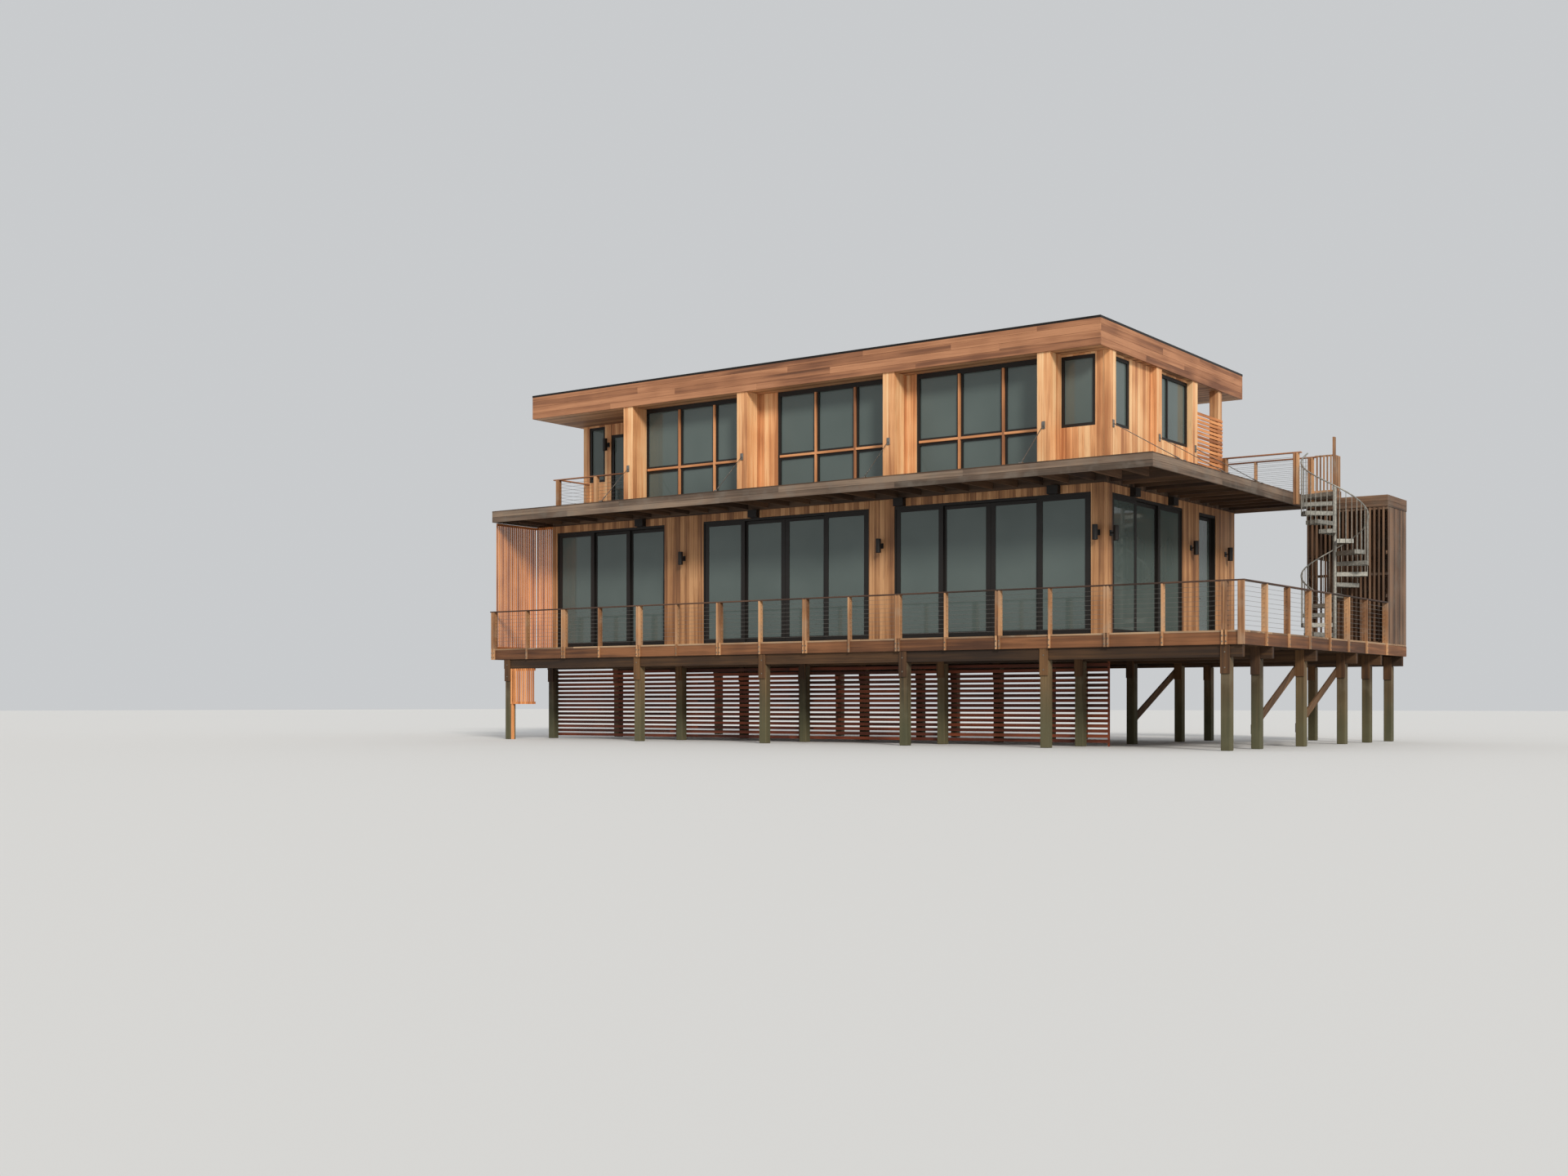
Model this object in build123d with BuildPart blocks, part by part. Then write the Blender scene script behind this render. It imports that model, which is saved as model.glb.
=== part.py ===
from build123d import *
from math import cos, sin, radians, degrees
import os

# Beach house on piles: millimetres, +Z up, origin at ground level under the middle of the main deck.
# The front looks along -Y, and the spiral stair is at the right, +X.
# Levels above the ground
joist_bottom = 2040
rim_height = 241
board_thickness = 38
deck_top = joist_bottom + rim_height + board_thickness
floor_rise = 26
floor_top = deck_top + floor_rise
beam_height = 235
beam_bottom = joist_bottom - beam_height
door_top = 5390
canopy_bottom = 5570
canopy_depth = 300
canopy_top = canopy_bottom + canopy_depth
roof_bottom = 8344
roof_depth = 600
flashing_rise = 13

# Plan of the walls, the roof, the deck and the canopy
wall_left = -9415
wall_right = 6385
wall_front = -3715
wall_back = 3605
wall_thickness = 180
roof_side_overhang = 180
roof_front_overhang = 580
roof_back_overhang = 90
deck_left = -10055
deck_right = 10055
deck_front = -5395
deck_back = 5395
post_lap = 60
canopy_left = -10015
canopy_front = -5345
canopy_right = 8170
canopy_back = 3850
rim_thickness = 38
roof_left = wall_left - roof_side_overhang
roof_right = wall_right + roof_side_overhang
roof_front = wall_front - roof_front_overhang
roof_back = wall_back + roof_back_overhang
rim_left = canopy_left
rim_front = deck_front + post_lap
rim_right = deck_right - post_lap

# Piles, beams and what hangs between them
pile_width = 190
pile_lefts = [-9595, -5245, -1485, 2295, 5685, 9545]
pile_fronts = [-5295, -3695, -1095, 1605, 3415]
tower_pile_lefts = [7700, 9545]
tower_pile_front = 5105
beam_width = 114
beam_end_left = 45
beam_left = pile_lefts[0] - beam_end_left
beam_end_right = 15
beam_right = rim_right - beam_end_right
cleat_thickness = 30
cleat_below_beam = 320
lattice_slat_height = 70
lattice_gap = 38
lattice_slat_thickness = 19
lattice_batten = 38
lattice_ground_gap = 60
brace_height = 184
brace_thickness = 38
brace_foot = 300
brace_below_beam = 60
brace_head = beam_bottom - brace_below_beam
skirt_width = 900
skirt_bottom = 900
slat_width = 45
slat_gap = 25
slat_thickness = 19
skirt_leg = 60

# Deck rails
post_board = 38
post_depth = 140
post_gap = 38
spacer_inset = 25
front_post_first = -10020
front_post_pitch = 1225.4
front_post_count = 17
side_post_pitch = 1270
side_post_count = 6
side_post_last = 3750
rail_height = 965
cap_thickness = 28
cap_width = 100
cap_inset = 10
cable_count = 9
cable_radius = 3
upper_rail_height = 940

# Lower storey openings and their sliding panels
left_opening = (-9245, -5595)
middle_opening = (-4355, 495)
right_opening = (1185, 6075)
side_opening = (-3355, 395)
side_door_opening = (1375, 2405)
frame_setback = 5
frame_depth = 175
jamb_width = 35
head_height = 60
sill_height = 45
panel_thickness = 45
track_pitch = 55
outer_track_setback = 20
stile = 115
interlock = 55
top_rail = 75
bottom_rail = 110
track_rib_width = 8
track_rib_height = 10
roller_clearance = 0.3
head_clearance = 8
edge_clearance = 5
meeting_gap = 6
pane_thickness = 24
pane_clearance = 0.3
seat_gap = 0.3

# Hinged side door
hinge_offset = 10
knuckle_radius = 8
pin_radius = 4
pin_clearance = 0.3
knuckle_height = 30
hinge_heights = [300, 1450, 2600]
hinge_leaf_half = 2
flap = 12
side_door_inner = 6250
round_sides = 12

# Upper storey
fin_width = 280
fin_centres = [-6335, -2760, 1365, 5235]
fin_reach = 530
side_fin_width = 260
side_fin_reach = 130
side_fin_fronts = [-3735, -1345, 695, 2225]
group_width = 3310
frame_bar = 70
head_bar = 110
mullion = 60
group_mullion = 150
transom_bar = 156
transom_height = 6800
upper_frame_depth = 90
upper_frame_setback = 10
casement_sides = (5375, 6175)
casement_sill = 6790
window_head = 8300
narrow_window = (-3475, -2495)
wide_window = (-1085, 695)
wide_window_mullion = -415
side_sill = 6820
porch_depth = 1220
porch_window = (-9215, -8665)
porch_window_sill = 6830
porch_door = (-8435, -7435)
porch_door_head = 8050
terrace_front = 955
terrace_left = 3785
terrace_door = (4300, 5300)
terrace_post_width = 205
screen_slat = 64
screen_gap = 26
screen_slat_count = 20

# Windows of the back and left walls, which repeat the other sides plainly
back_window_centres = [-7600, -3900, -200, 3500]
back_window_width = 1500
back_window_sill = 900
back_window_height = 1500
left_window_centres = [-1200, 1800]

# Spiral stair
stair_x = 9021
stair_y = 3087
stair_radius = 740
pole_radius = 45
step_angle = 32
first_step_angle = 179
riser_count = 15
tread_lip = 95
tread_plate = 8
tread_clearance = 0.3
rail_radius = 19
rail_sides = 6
baluster = 16
stair_rail_height = 1080
rail_joint = 3.5
pole_rise = 110
landing_back = 3845
landing_front = 270
landing_angle = 110
tread_gap_angle = 1
base_plate = 12

# Slatted tower
tower_left = 8095
tower_front = 3885
tower_height = 3480
tower_band = 270
tower_band_overhang = 15
tower_door_width = 800
tower_door_height = 2100
tower_slat_pitch = 105


def block(x0, x1, y0, y1, z0, z1, mode=Mode.ADD):
    """One squared timber, board or opening between two corners."""
    with Locations(((x0 + x1) / 2, (y0 + y1) / 2, (z0 + z1) / 2)):
        Box(x1 - x0, y1 - y0, z1 - z0, mode=mode)


def round_bar(x, y, z0, z1, radius, mode=Mode.ADD):
    """One upright round bar or hole, with few sides."""
    with BuildSketch(Plane.XY.offset(z0)) as section:
        with Locations((x, y)):
            RegularPolygon(radius, round_sides)
    extrude(section.sketch, amount=z1 - z0, mode=mode)


def save(piece, name):
    """Label a finished piece and write it under its own name."""
    piece.part.label = name
    export_step(piece.part, "parts/" + name + ".step")


os.makedirs("parts", exist_ok=True)

# Square piles in rows, the beams on them, and board cleats that tie the two
pile_places = [(x, y) for y in pile_fronts for x in pile_lefts]
pile_places += [(x, tower_pile_front) for x in tower_pile_lefts]
with BuildPart() as piles:
    with BuildSketch():
        with Locations([(x + pile_width / 2, y + pile_width / 2) for x, y in pile_places]):
            Rectangle(pile_width, pile_width)
    extrude(amount=beam_bottom)
save(piles, "piles")

with BuildPart() as deck_beams:
    for front in pile_fronts:
        block(beam_left, beam_right, front, front + beam_width, beam_bottom, joist_bottom)
    block(tower_pile_lefts[0] - beam_end_left, beam_right, tower_pile_front,
          tower_pile_front + beam_width, beam_bottom, joist_bottom)
save(deck_beams, "deck_beams")

cleat_height = beam_height + cleat_below_beam
with BuildPart() as pile_cleats:
    with Locations([(x + pile_width / 2, y - cleat_thickness / 2, joist_bottom - cleat_height / 2)
                    for x, y in pile_places]):
        Box(pile_width, cleat_thickness, cleat_height)
save(pile_cleats, "pile_cleats")

# Slat lattice behind the second row of piles, with upright battens behind it
lattice_front = pile_fronts[1] + pile_width
lattice_left = pile_lefts[0]
lattice_pitch = lattice_slat_height + lattice_gap
lattice_count = int((beam_bottom - lattice_ground_gap) / lattice_pitch)
batten_front = lattice_front + lattice_slat_thickness
with BuildPart() as under_deck_lattice:
    for x in pile_lefts[:4] + [wall_right - lattice_batten]:
        block(x, x + lattice_batten, batten_front, batten_front + lattice_batten, 0, beam_bottom)
    slats = [((lattice_left + wall_right) / 2, lattice_front + lattice_slat_thickness / 2,
              beam_bottom - lattice_gap - lattice_slat_height / 2 - i * lattice_pitch)
             for i in range(lattice_count)]
    with Locations(slats):
        Box(wall_right - lattice_left, lattice_slat_thickness, lattice_slat_height)
save(under_deck_lattice, "under_deck_lattice")

# Diagonal braces from the foot of one pile to the head of the next one back
with BuildPart() as pile_braces:
    for left, row in [(pile_lefts[4], 2), (pile_lefts[5], 1), (pile_lefts[5], 2)]:
        foot, head = [front + pile_width / 2 for front in pile_fronts[row:row + 2]]
        with BuildSketch(Plane.YZ.offset(left - brace_thickness)):
            with BuildLine():
                Polyline((foot, brace_foot), (foot, brace_foot + brace_height),
                         (head, brace_head), (head, brace_head - brace_height), close=True)
            make_face()
        extrude(amount=brace_thickness)
save(pile_braces, "pile_braces")

# Main deck: a strip along the front, one along the right, and a bay under the tower
joist_pitch = 406
joist_thickness = 38
boards_bottom = joist_bottom + rim_height
front_joists = int((wall_right - rim_left) / joist_pitch)
side_joists = int((canopy_back - wall_front) / joist_pitch)
with BuildPart() as deck_frame:
    for x0, x1, y0, y1 in [
            (rim_left, rim_right, rim_front, rim_front + rim_thickness),
            (rim_left, wall_right, wall_front - rim_thickness, wall_front),
            (rim_right - rim_thickness, rim_right, rim_front, deck_back),
            (wall_right, wall_right + rim_thickness, wall_front - rim_thickness, canopy_back),
            (rim_left, rim_left + rim_thickness, rim_front, wall_front),
            (wall_right, rim_right, canopy_back - rim_thickness, canopy_back),
            (tower_pile_lefts[0], tower_pile_lefts[0] + rim_thickness, canopy_back - rim_thickness,
             deck_back),
            (tower_pile_lefts[0], rim_right, deck_back - rim_thickness, deck_back)]:
        block(x0, x1, y0, y1, joist_bottom, boards_bottom)
    with Locations([(rim_left + (i + 1) * joist_pitch, (rim_front + wall_front) / 2,
                     joist_bottom + rim_height / 2) for i in range(front_joists)]):
        Box(joist_thickness, wall_front - rim_front - rim_thickness, rim_height)
    with Locations([((wall_right + rim_right) / 2, wall_front + i * joist_pitch,
                     joist_bottom + rim_height / 2) for i in range(side_joists)]):
        Box(rim_right - wall_right - rim_thickness, joist_thickness, rim_height)
save(deck_frame, "deck_frame")

with BuildPart() as deck_boards:
    block(rim_left, rim_right, rim_front, wall_front, boards_bottom, deck_top)
    block(wall_right, rim_right, wall_front, canopy_back, boards_bottom, deck_top)
    block(tower_pile_lefts[0], rim_right, canopy_back, deck_back, boards_bottom, deck_top)
save(deck_boards, "deck_boards")

with BuildPart() as ground_floor:
    block(wall_left, wall_right, wall_front, wall_back, joist_bottom, floor_top)
save(ground_floor, "ground_floor")


# Cable rails: post boards lapped over the rim, single and double in turn, with a cap on them.
# A double post is two boards with a spacer between, set back from their edges.
rail_top = deck_top + rail_height
rail_bottom = rail_top - cap_thickness
cable_space = rail_bottom - deck_top
cable_heights = [deck_top + cable_space * (i + 1) / (cable_count + 1) for i in range(cable_count)]
cable_y = deck_front + post_depth / 2
cable_x = deck_right - post_depth / 2
double_width = 2 * post_board + post_gap
front_places = [front_post_first + i * front_post_pitch for i in range(front_post_count)]
front_doubles = front_places[0::2]
front_posts = front_places + [x + post_board + post_gap for x in front_doubles]
front_bay_starts = [x + (double_width if x in front_doubles else post_board) for x in front_places]
front_bay_ends = front_places[1:] + [cable_x - cable_radius - seat_gap]
with BuildPart() as front_railing:
    with Locations([(x + post_board / 2, deck_front + post_lap / 2, (joist_bottom + deck_top) / 2)
                    for x in front_posts]):
        Box(post_board, post_lap, deck_top - joist_bottom)
    with Locations([(x + post_board / 2, cable_y, (deck_top + rail_bottom) / 2) for x in front_posts]):
        Box(post_board, post_depth, cable_space)
    with Locations([(x + double_width / 2, cable_y, (deck_top + rail_bottom) / 2)
                    for x in front_doubles]):
        Box(post_gap, post_depth - 2 * spacer_inset, cable_space)
    block(deck_left, deck_right, deck_front + cap_inset, deck_front + cap_inset + cap_width,
          rail_bottom, rail_top)
    for start, end in zip(front_bay_starts, front_bay_ends):
        with BuildSketch(Plane.YZ.offset(start)):
            with Locations([(cable_y, height) for height in cable_heights]):
                RegularPolygon(cable_radius, 3)
        extrude(amount=end - start)
save(front_railing, "front_railing")

# The corner post stands on the front rim, and the others on the right one
side_posts = [deck_front + (i + 1) * side_post_pitch for i in range(side_post_count)] + [side_post_last]
with BuildPart() as right_railing:
    block(deck_right - post_depth, deck_right, deck_front, rim_front, joist_bottom, rail_bottom)
    with Locations([(deck_right - post_lap / 2, y + post_board / 2, (joist_bottom + deck_top) / 2)
                    for y in side_posts]):
        Box(post_lap, post_board, deck_top - joist_bottom)
    with Locations([(cable_x, y + post_board / 2, (deck_top + rail_bottom) / 2) for y in side_posts]):
        Box(post_depth, post_board, cable_space)
    block(deck_right - cap_inset - cap_width, deck_right - cap_inset,
          deck_front + cap_inset + cap_width + seat_gap, side_post_last + post_board,
          rail_bottom, rail_top)
    with BuildSketch(Plane.XZ.offset(-rim_front)):
        with Locations([(cable_x, height) for height in cable_heights]):
            RegularPolygon(cable_radius, 3)
    extrude(amount=rim_front - side_post_last)
save(right_railing, "right_railing")

# Left slat screens on the deck, and the slat skirt under it
slat_pitch = slat_width + slat_gap
screen_left = rim_left
screen_front = rim_front + post_depth
screen_span = wall_front - screen_front
screen_top = canopy_bottom
side_slats = int(screen_span / slat_pitch)
front_slats = int((wall_left - screen_left - slat_width) / slat_pitch)
slat_rail = 60
skirt_left = pile_lefts[0] + pile_width + seat_gap
skirt_count = int(skirt_width / slat_pitch)
skirt_right = skirt_left + skirt_count * slat_pitch
skirt_front = pile_fronts[0]
with BuildPart() as left_slat_screens:
    for z in (deck_top, screen_top - slat_rail):
        block(screen_left + slat_thickness, screen_left + slat_thickness + slat_gap,
              screen_front, wall_front, z, z + slat_rail)
    with Locations([(screen_left + slat_thickness / 2, screen_front + slat_width / 2 + i * slat_pitch,
                     (deck_top + screen_top) / 2) for i in range(side_slats)]):
        Box(slat_thickness, slat_width, screen_top - deck_top)
    for z in (deck_top, screen_top - slat_rail):
        block(screen_left + slat_thickness + slat_gap + seat_gap, wall_left, wall_front - slat_gap,
              wall_front, z, z + slat_rail)
    with Locations([(screen_left + slat_pitch + slat_width / 2 + i * slat_pitch,
                     wall_front - slat_gap - slat_thickness / 2, (deck_top + screen_top) / 2)
                    for i in range(front_slats)]):
        Box(slat_width, slat_thickness, screen_top - deck_top)

    for z in (skirt_bottom, beam_bottom - slat_rail):
        block(skirt_left, skirt_right, skirt_front + slat_thickness,
              skirt_front + slat_thickness + slat_gap, z, z + slat_rail)
    with Locations([(skirt_left + slat_width / 2 + i * slat_pitch, skirt_front + slat_thickness / 2,
                     (skirt_bottom + beam_bottom) / 2) for i in range(skirt_count)]):
        Box(slat_width, slat_thickness, beam_bottom - skirt_bottom)
    block(skirt_left, skirt_left + skirt_leg, skirt_front + slat_thickness,
          skirt_front + slat_thickness + skirt_leg, 0, skirt_bottom)
save(left_slat_screens, "left_slat_screens")

# Lower storey walls: piers between the doors, header boards over them, back and left walls
inner_front = wall_front + wall_thickness
inner_right = wall_right - wall_thickness
inner_back = wall_back - wall_thickness
inner_left = wall_left + wall_thickness
front_edges = [wall_left, *left_opening, *middle_opening, *right_opening, wall_right]
with BuildPart() as front_piers:
    for x0, x1 in zip(front_edges[0::2], front_edges[1::2]):
        block(x0, x1, wall_front, inner_front, floor_top, door_top)
save(front_piers, "front_piers")

side_edges = [inner_front, *side_opening, *side_door_opening, inner_back]
with BuildPart() as right_piers:
    for y0, y1 in zip(side_edges[0::2], side_edges[1::2]):
        block(inner_right, wall_right, y0, y1, floor_top, door_top)
save(right_piers, "right_piers")

with BuildPart() as door_headers:
    block(wall_left, wall_right, wall_front, inner_front, door_top, canopy_bottom)
    block(inner_right, wall_right, inner_front + seat_gap, inner_back, door_top, canopy_bottom)
save(door_headers, "door_headers")

recess_back = wall_front + porch_depth
with BuildPart() as back_wall:
    for x0, x1, base, top in [(wall_left, wall_right, floor_top, canopy_bottom),
                              (wall_left, terrace_left + wall_thickness, canopy_top, roof_bottom)]:
        block(x0, x1, inner_back, wall_back, base, top)
        for centre in back_window_centres:
            if centre + back_window_width / 2 < x1 - wall_thickness:
                block(centre - back_window_width / 2, centre + back_window_width / 2,
                      inner_back, wall_back, base + back_window_sill,
                      base + back_window_sill + back_window_height, mode=Mode.SUBTRACT)
save(back_wall, "back_wall")

with BuildPart() as left_wall:
    for y0, base, top in [(inner_front, floor_top, canopy_bottom),
                          (recess_back + wall_thickness, canopy_top, roof_bottom)]:
        block(wall_left, inner_left, y0, inner_back, base, top)
        for centre in left_window_centres:
            block(wall_left, inner_left, centre - back_window_width / 2,
                  centre + back_window_width / 2, base + back_window_sill,
                  base + back_window_sill + back_window_height, mode=Mode.SUBTRACT)
save(left_wall, "left_wall")


# Glazed doors. A panel is a frame of stiles and rails with one pane.
def front_panel(x0, x1, face, base, top):
    """Frame of one panel that looks along -Y."""
    block(x0, x1, face, face + panel_thickness, base, top)
    block(x0 + stile, x1 - stile, face, face + panel_thickness, base + bottom_rail, top - top_rail,
          mode=Mode.SUBTRACT)


def front_pane(x0, x1, face, base, top):
    """Pane of one panel that looks along -Y."""
    inset = (panel_thickness - pane_thickness) / 2
    block(x0 + stile + pane_clearance, x1 - stile - pane_clearance, face + inset,
          face + inset + pane_thickness, base + bottom_rail + pane_clearance,
          top - top_rail - pane_clearance)


def side_panel(y0, y1, face, base, top):
    """Frame of one panel that looks along +X."""
    block(face - panel_thickness, face, y0, y1, base, top)
    block(face - panel_thickness, face, y0 + stile, y1 - stile, base + bottom_rail, top - top_rail,
          mode=Mode.SUBTRACT)


def side_pane(y0, y1, face, base, top):
    """Pane of one panel that looks along +X."""
    inset = (panel_thickness - pane_thickness) / 2
    block(face - inset - pane_thickness, face - inset, y0 + stile + pane_clearance,
          y1 - stile - pane_clearance, base + bottom_rail + pane_clearance,
          top - top_rail - pane_clearance)


def three_panels(opening):
    """A fixed panel and two that slide behind it, each on its own track."""
    start, end = opening[0] + jamb_width, opening[1] - jamb_width
    width = (end - start - edge_clearance + 2 * interlock) / 3
    step = width - interlock
    return [(start + i * step, start + i * step + width, i) for i in range(3)]


def four_panels(opening):
    """Fixed outer panels and two inner ones that part in the middle."""
    start, end = opening[0] + jamb_width, opening[1] - jamb_width
    width = (end - start - meeting_gap + 2 * interlock) / 4
    second = start + width - interlock
    third = second + width + meeting_gap
    return [(start, start + width, 0), (second, second + width, 1),
            (third, third + width, 1), (end - width, end, 0)]


def centre_panel(opening):
    """Two fixed panels and a middle one that slides."""
    start, end = opening[0] + jamb_width, opening[1] - jamb_width
    width = (end - start + 2 * interlock) / 3
    second = start + width - interlock
    return [(start, start + width, 0), (second, second + width, 1), (end - width, end, 0)]


def track_face(track):
    """Front face of a panel on a track of the front wall."""
    return wall_front + outer_track_setback + track * track_pitch


def side_track_face(track):
    """Outer face of a panel on a track of the right wall."""
    return wall_right - outer_track_setback - track * track_pitch


sill_top = floor_top + sill_height
rib_top = sill_top + track_rib_height
head_bottom = door_top - head_height
frame_front = wall_front + frame_setback
frame_back = frame_front + frame_depth
side_frame_face = wall_right - frame_setback
side_frame_back = side_frame_face - frame_depth
leaf_base = rib_top + roller_clearance
leaf_top = head_bottom - head_clearance
front_openings = [left_opening, middle_opening, right_opening]
front_tracks = [[1, 2], [1], [1]]
side_leaf_panels = centre_panel(side_opening)
left_panels = three_panels(left_opening)
middle_panels = four_panels(middle_opening)
right_panels = four_panels(right_opening)
rib_inset = (panel_thickness - track_rib_width) / 2
door_outer = side_door_inner + panel_thickness

with BuildPart() as door_tracks:
    for (x0, x1), tracks in zip(front_openings, front_tracks):
        block(x0, x1, frame_front, frame_back, floor_top, sill_top)
        block(x0, x1, frame_front, frame_back, head_bottom, door_top)
        for track in tracks:
            rib_front = track_face(track) + rib_inset
            block(x0 + jamb_width, x1 - jamb_width, rib_front, rib_front + track_rib_width,
                  sill_top, rib_top)
    for y0, y1 in (side_opening, side_door_opening):
        block(side_frame_back, side_frame_face, y0, y1, floor_top, sill_top)
        block(side_frame_back, side_frame_face, y0, y1, head_bottom, door_top)
    rib_outer = side_track_face(1) - rib_inset
    block(rib_outer - track_rib_width, rib_outer, side_opening[0] + jamb_width,
          side_opening[1] - jamb_width, sill_top, rib_top)
save(door_tracks, "door_tracks")

# The rear jamb of the side door carries the pins
hinge_x = side_door_inner - hinge_offset
door_front = side_door_opening[0] + jamb_width
door_back = side_door_opening[1] - jamb_width
hinge_y = door_back - edge_clearance / 2
with BuildPart() as door_jambs:
    for x0, x1 in front_openings:
        for x in (x0, x1 - jamb_width):
            block(x, x + jamb_width, frame_front, frame_back, sill_top, head_bottom)
    for y in (side_opening[0], side_opening[1] - jamb_width):
        block(side_frame_back, side_frame_face, y, y + jamb_width, sill_top, head_bottom)
    for y in (side_door_opening[0], door_back):
        block(side_door_inner, side_frame_face, y, y + jamb_width, sill_top, head_bottom)
    for height in hinge_heights:
        middle = sill_top + height
        for z in (middle - 1.5 * knuckle_height - pin_clearance,
                  middle + 0.5 * knuckle_height + pin_clearance):
            round_bar(hinge_x, hinge_y, z, z + knuckle_height, knuckle_radius)
            block(hinge_x, side_door_inner, door_back, door_back + flap, z, z + knuckle_height)
            block(hinge_x - hinge_leaf_half, hinge_x + hinge_leaf_half, hinge_y, door_back + flap,
                  z, z + knuckle_height)
        round_bar(hinge_x, hinge_y, middle - knuckle_height, middle + knuckle_height, pin_radius)
save(door_jambs, "door_jambs")

fixed_front = [left_panels[0], middle_panels[0], middle_panels[3], right_panels[0], right_panels[3]]
fixed_side = [side_leaf_panels[0], side_leaf_panels[2]]
with BuildPart() as fixed_panels:
    for x0, x1, track in fixed_front:
        front_panel(x0, x1, track_face(track), sill_top, head_bottom)
    for y0, y1, track in fixed_side:
        side_panel(y0, y1, side_track_face(track), sill_top, head_bottom)
save(fixed_panels, "fixed_panels")

with BuildPart() as fixed_glass:
    for x0, x1, track in fixed_front:
        front_pane(x0, x1, track_face(track), sill_top, head_bottom)
    for y0, y1, track in fixed_side:
        side_pane(y0, y1, side_track_face(track), sill_top, head_bottom)
save(fixed_glass, "fixed_glass")

sliding_front = {"left_door_centre": left_panels[1], "left_door_right": left_panels[2],
                 "middle_door_left": middle_panels[1], "middle_door_right": middle_panels[2],
                 "right_door_left": right_panels[1], "right_door_right": right_panels[2]}
for name, (x0, x1, track) in sliding_front.items():
    with BuildPart() as sliding_leaf:
        front_panel(x0, x1, track_face(track), leaf_base, leaf_top)
    save(sliding_leaf, name + "_leaf")
    with BuildPart() as sliding_pane:
        front_pane(x0, x1, track_face(track), leaf_base, leaf_top)
    save(sliding_pane, name + "_glass")

y0, y1, track = side_leaf_panels[1]
with BuildPart() as side_slider:
    side_panel(y0, y1, side_track_face(track), leaf_base, leaf_top)
save(side_slider, "side_slider_leaf")
with BuildPart() as side_slider_pane:
    side_pane(y0, y1, side_track_face(track), leaf_base, leaf_top)
save(side_slider_pane, "side_slider_glass")

leaf_start = door_front + edge_clearance
leaf_end = door_back - edge_clearance
door_leaf_base = sill_top + edge_clearance
pin_hole_radius = (pin_radius + pin_clearance) / cos(radians(180 / round_sides))
with BuildPart() as side_door:
    side_panel(leaf_start, leaf_end, door_outer, door_leaf_base, leaf_top)
    for height in hinge_heights:
        low = sill_top + height - knuckle_height / 2
        high = low + knuckle_height
        round_bar(hinge_x, hinge_y, low, high, knuckle_radius)
        block(hinge_x, side_door_inner, leaf_end - flap, leaf_end, low, high)
        block(hinge_x - hinge_leaf_half, hinge_x + hinge_leaf_half, leaf_end - flap, hinge_y, low, high)
        round_bar(hinge_x, hinge_y, low, high, pin_hole_radius, mode=Mode.SUBTRACT)
save(side_door, "side_door_leaf")
with BuildPart() as side_door_pane:
    side_pane(leaf_start, leaf_end, door_outer, door_leaf_base, leaf_top)
save(side_door_pane, "side_door_glass")

# Canopy: fascia all round, joists under its boards, and the upper floor inside the walls
fascia_thickness = 38
fascia_lift = 10
canopy_joist_height = 235
canopy_joist_pitch = 610
canopy_board = 25
frame_top = canopy_top - canopy_board
fascia_bottom = canopy_bottom + fascia_lift
joist_middle = frame_top - canopy_joist_height / 2
front_reach = wall_front - canopy_front - fascia_thickness
side_reach = canopy_right - fascia_thickness - wall_right
front_count = int((canopy_right - canopy_left) / canopy_joist_pitch)
side_count = int((canopy_back - wall_front) / canopy_joist_pitch)
with BuildPart() as canopy_frame:
    block(canopy_left, canopy_right, canopy_front, canopy_back, fascia_bottom, frame_top)
    block(canopy_left + fascia_thickness, canopy_right - fascia_thickness,
          canopy_front + fascia_thickness, canopy_back - fascia_thickness,
          fascia_bottom, frame_top, mode=Mode.SUBTRACT)
    with Locations([(canopy_left + (i + 0.5) * canopy_joist_pitch, wall_front - front_reach / 2,
                     joist_middle) for i in range(front_count)]):
        Box(joist_thickness, front_reach, canopy_joist_height)
    with Locations([(wall_right + side_reach / 2, wall_front + (i + 0.5) * canopy_joist_pitch,
                     joist_middle) for i in range(side_count)]):
        Box(side_reach, joist_thickness, canopy_joist_height)
save(canopy_frame, "canopy_frame")

with BuildPart() as upper_floor:
    block(wall_left, wall_right, wall_front, wall_back, canopy_bottom, canopy_top)
    block(canopy_left, canopy_right, canopy_front, canopy_back, frame_top, canopy_top)
save(upper_floor, "upper_floor")

# Steel outriggers at the wall head, and the rods that hold the canopy from the fins
outrigger_width = 260
outrigger_reach = 150
outrigger_height = 180
side_outrigger_centres = [-2345, -295]
with BuildPart() as outriggers:
    for x in fin_centres:
        block(x - outrigger_width / 2, x + outrigger_width / 2, wall_front - outrigger_reach,
              wall_front, canopy_bottom - outrigger_height, canopy_bottom)
    for y in side_outrigger_centres:
        block(wall_right, wall_right + outrigger_reach, y - outrigger_width / 2,
              y + outrigger_width / 2, canopy_bottom - outrigger_height, canopy_bottom)
save(outriggers, "outriggers")

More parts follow.
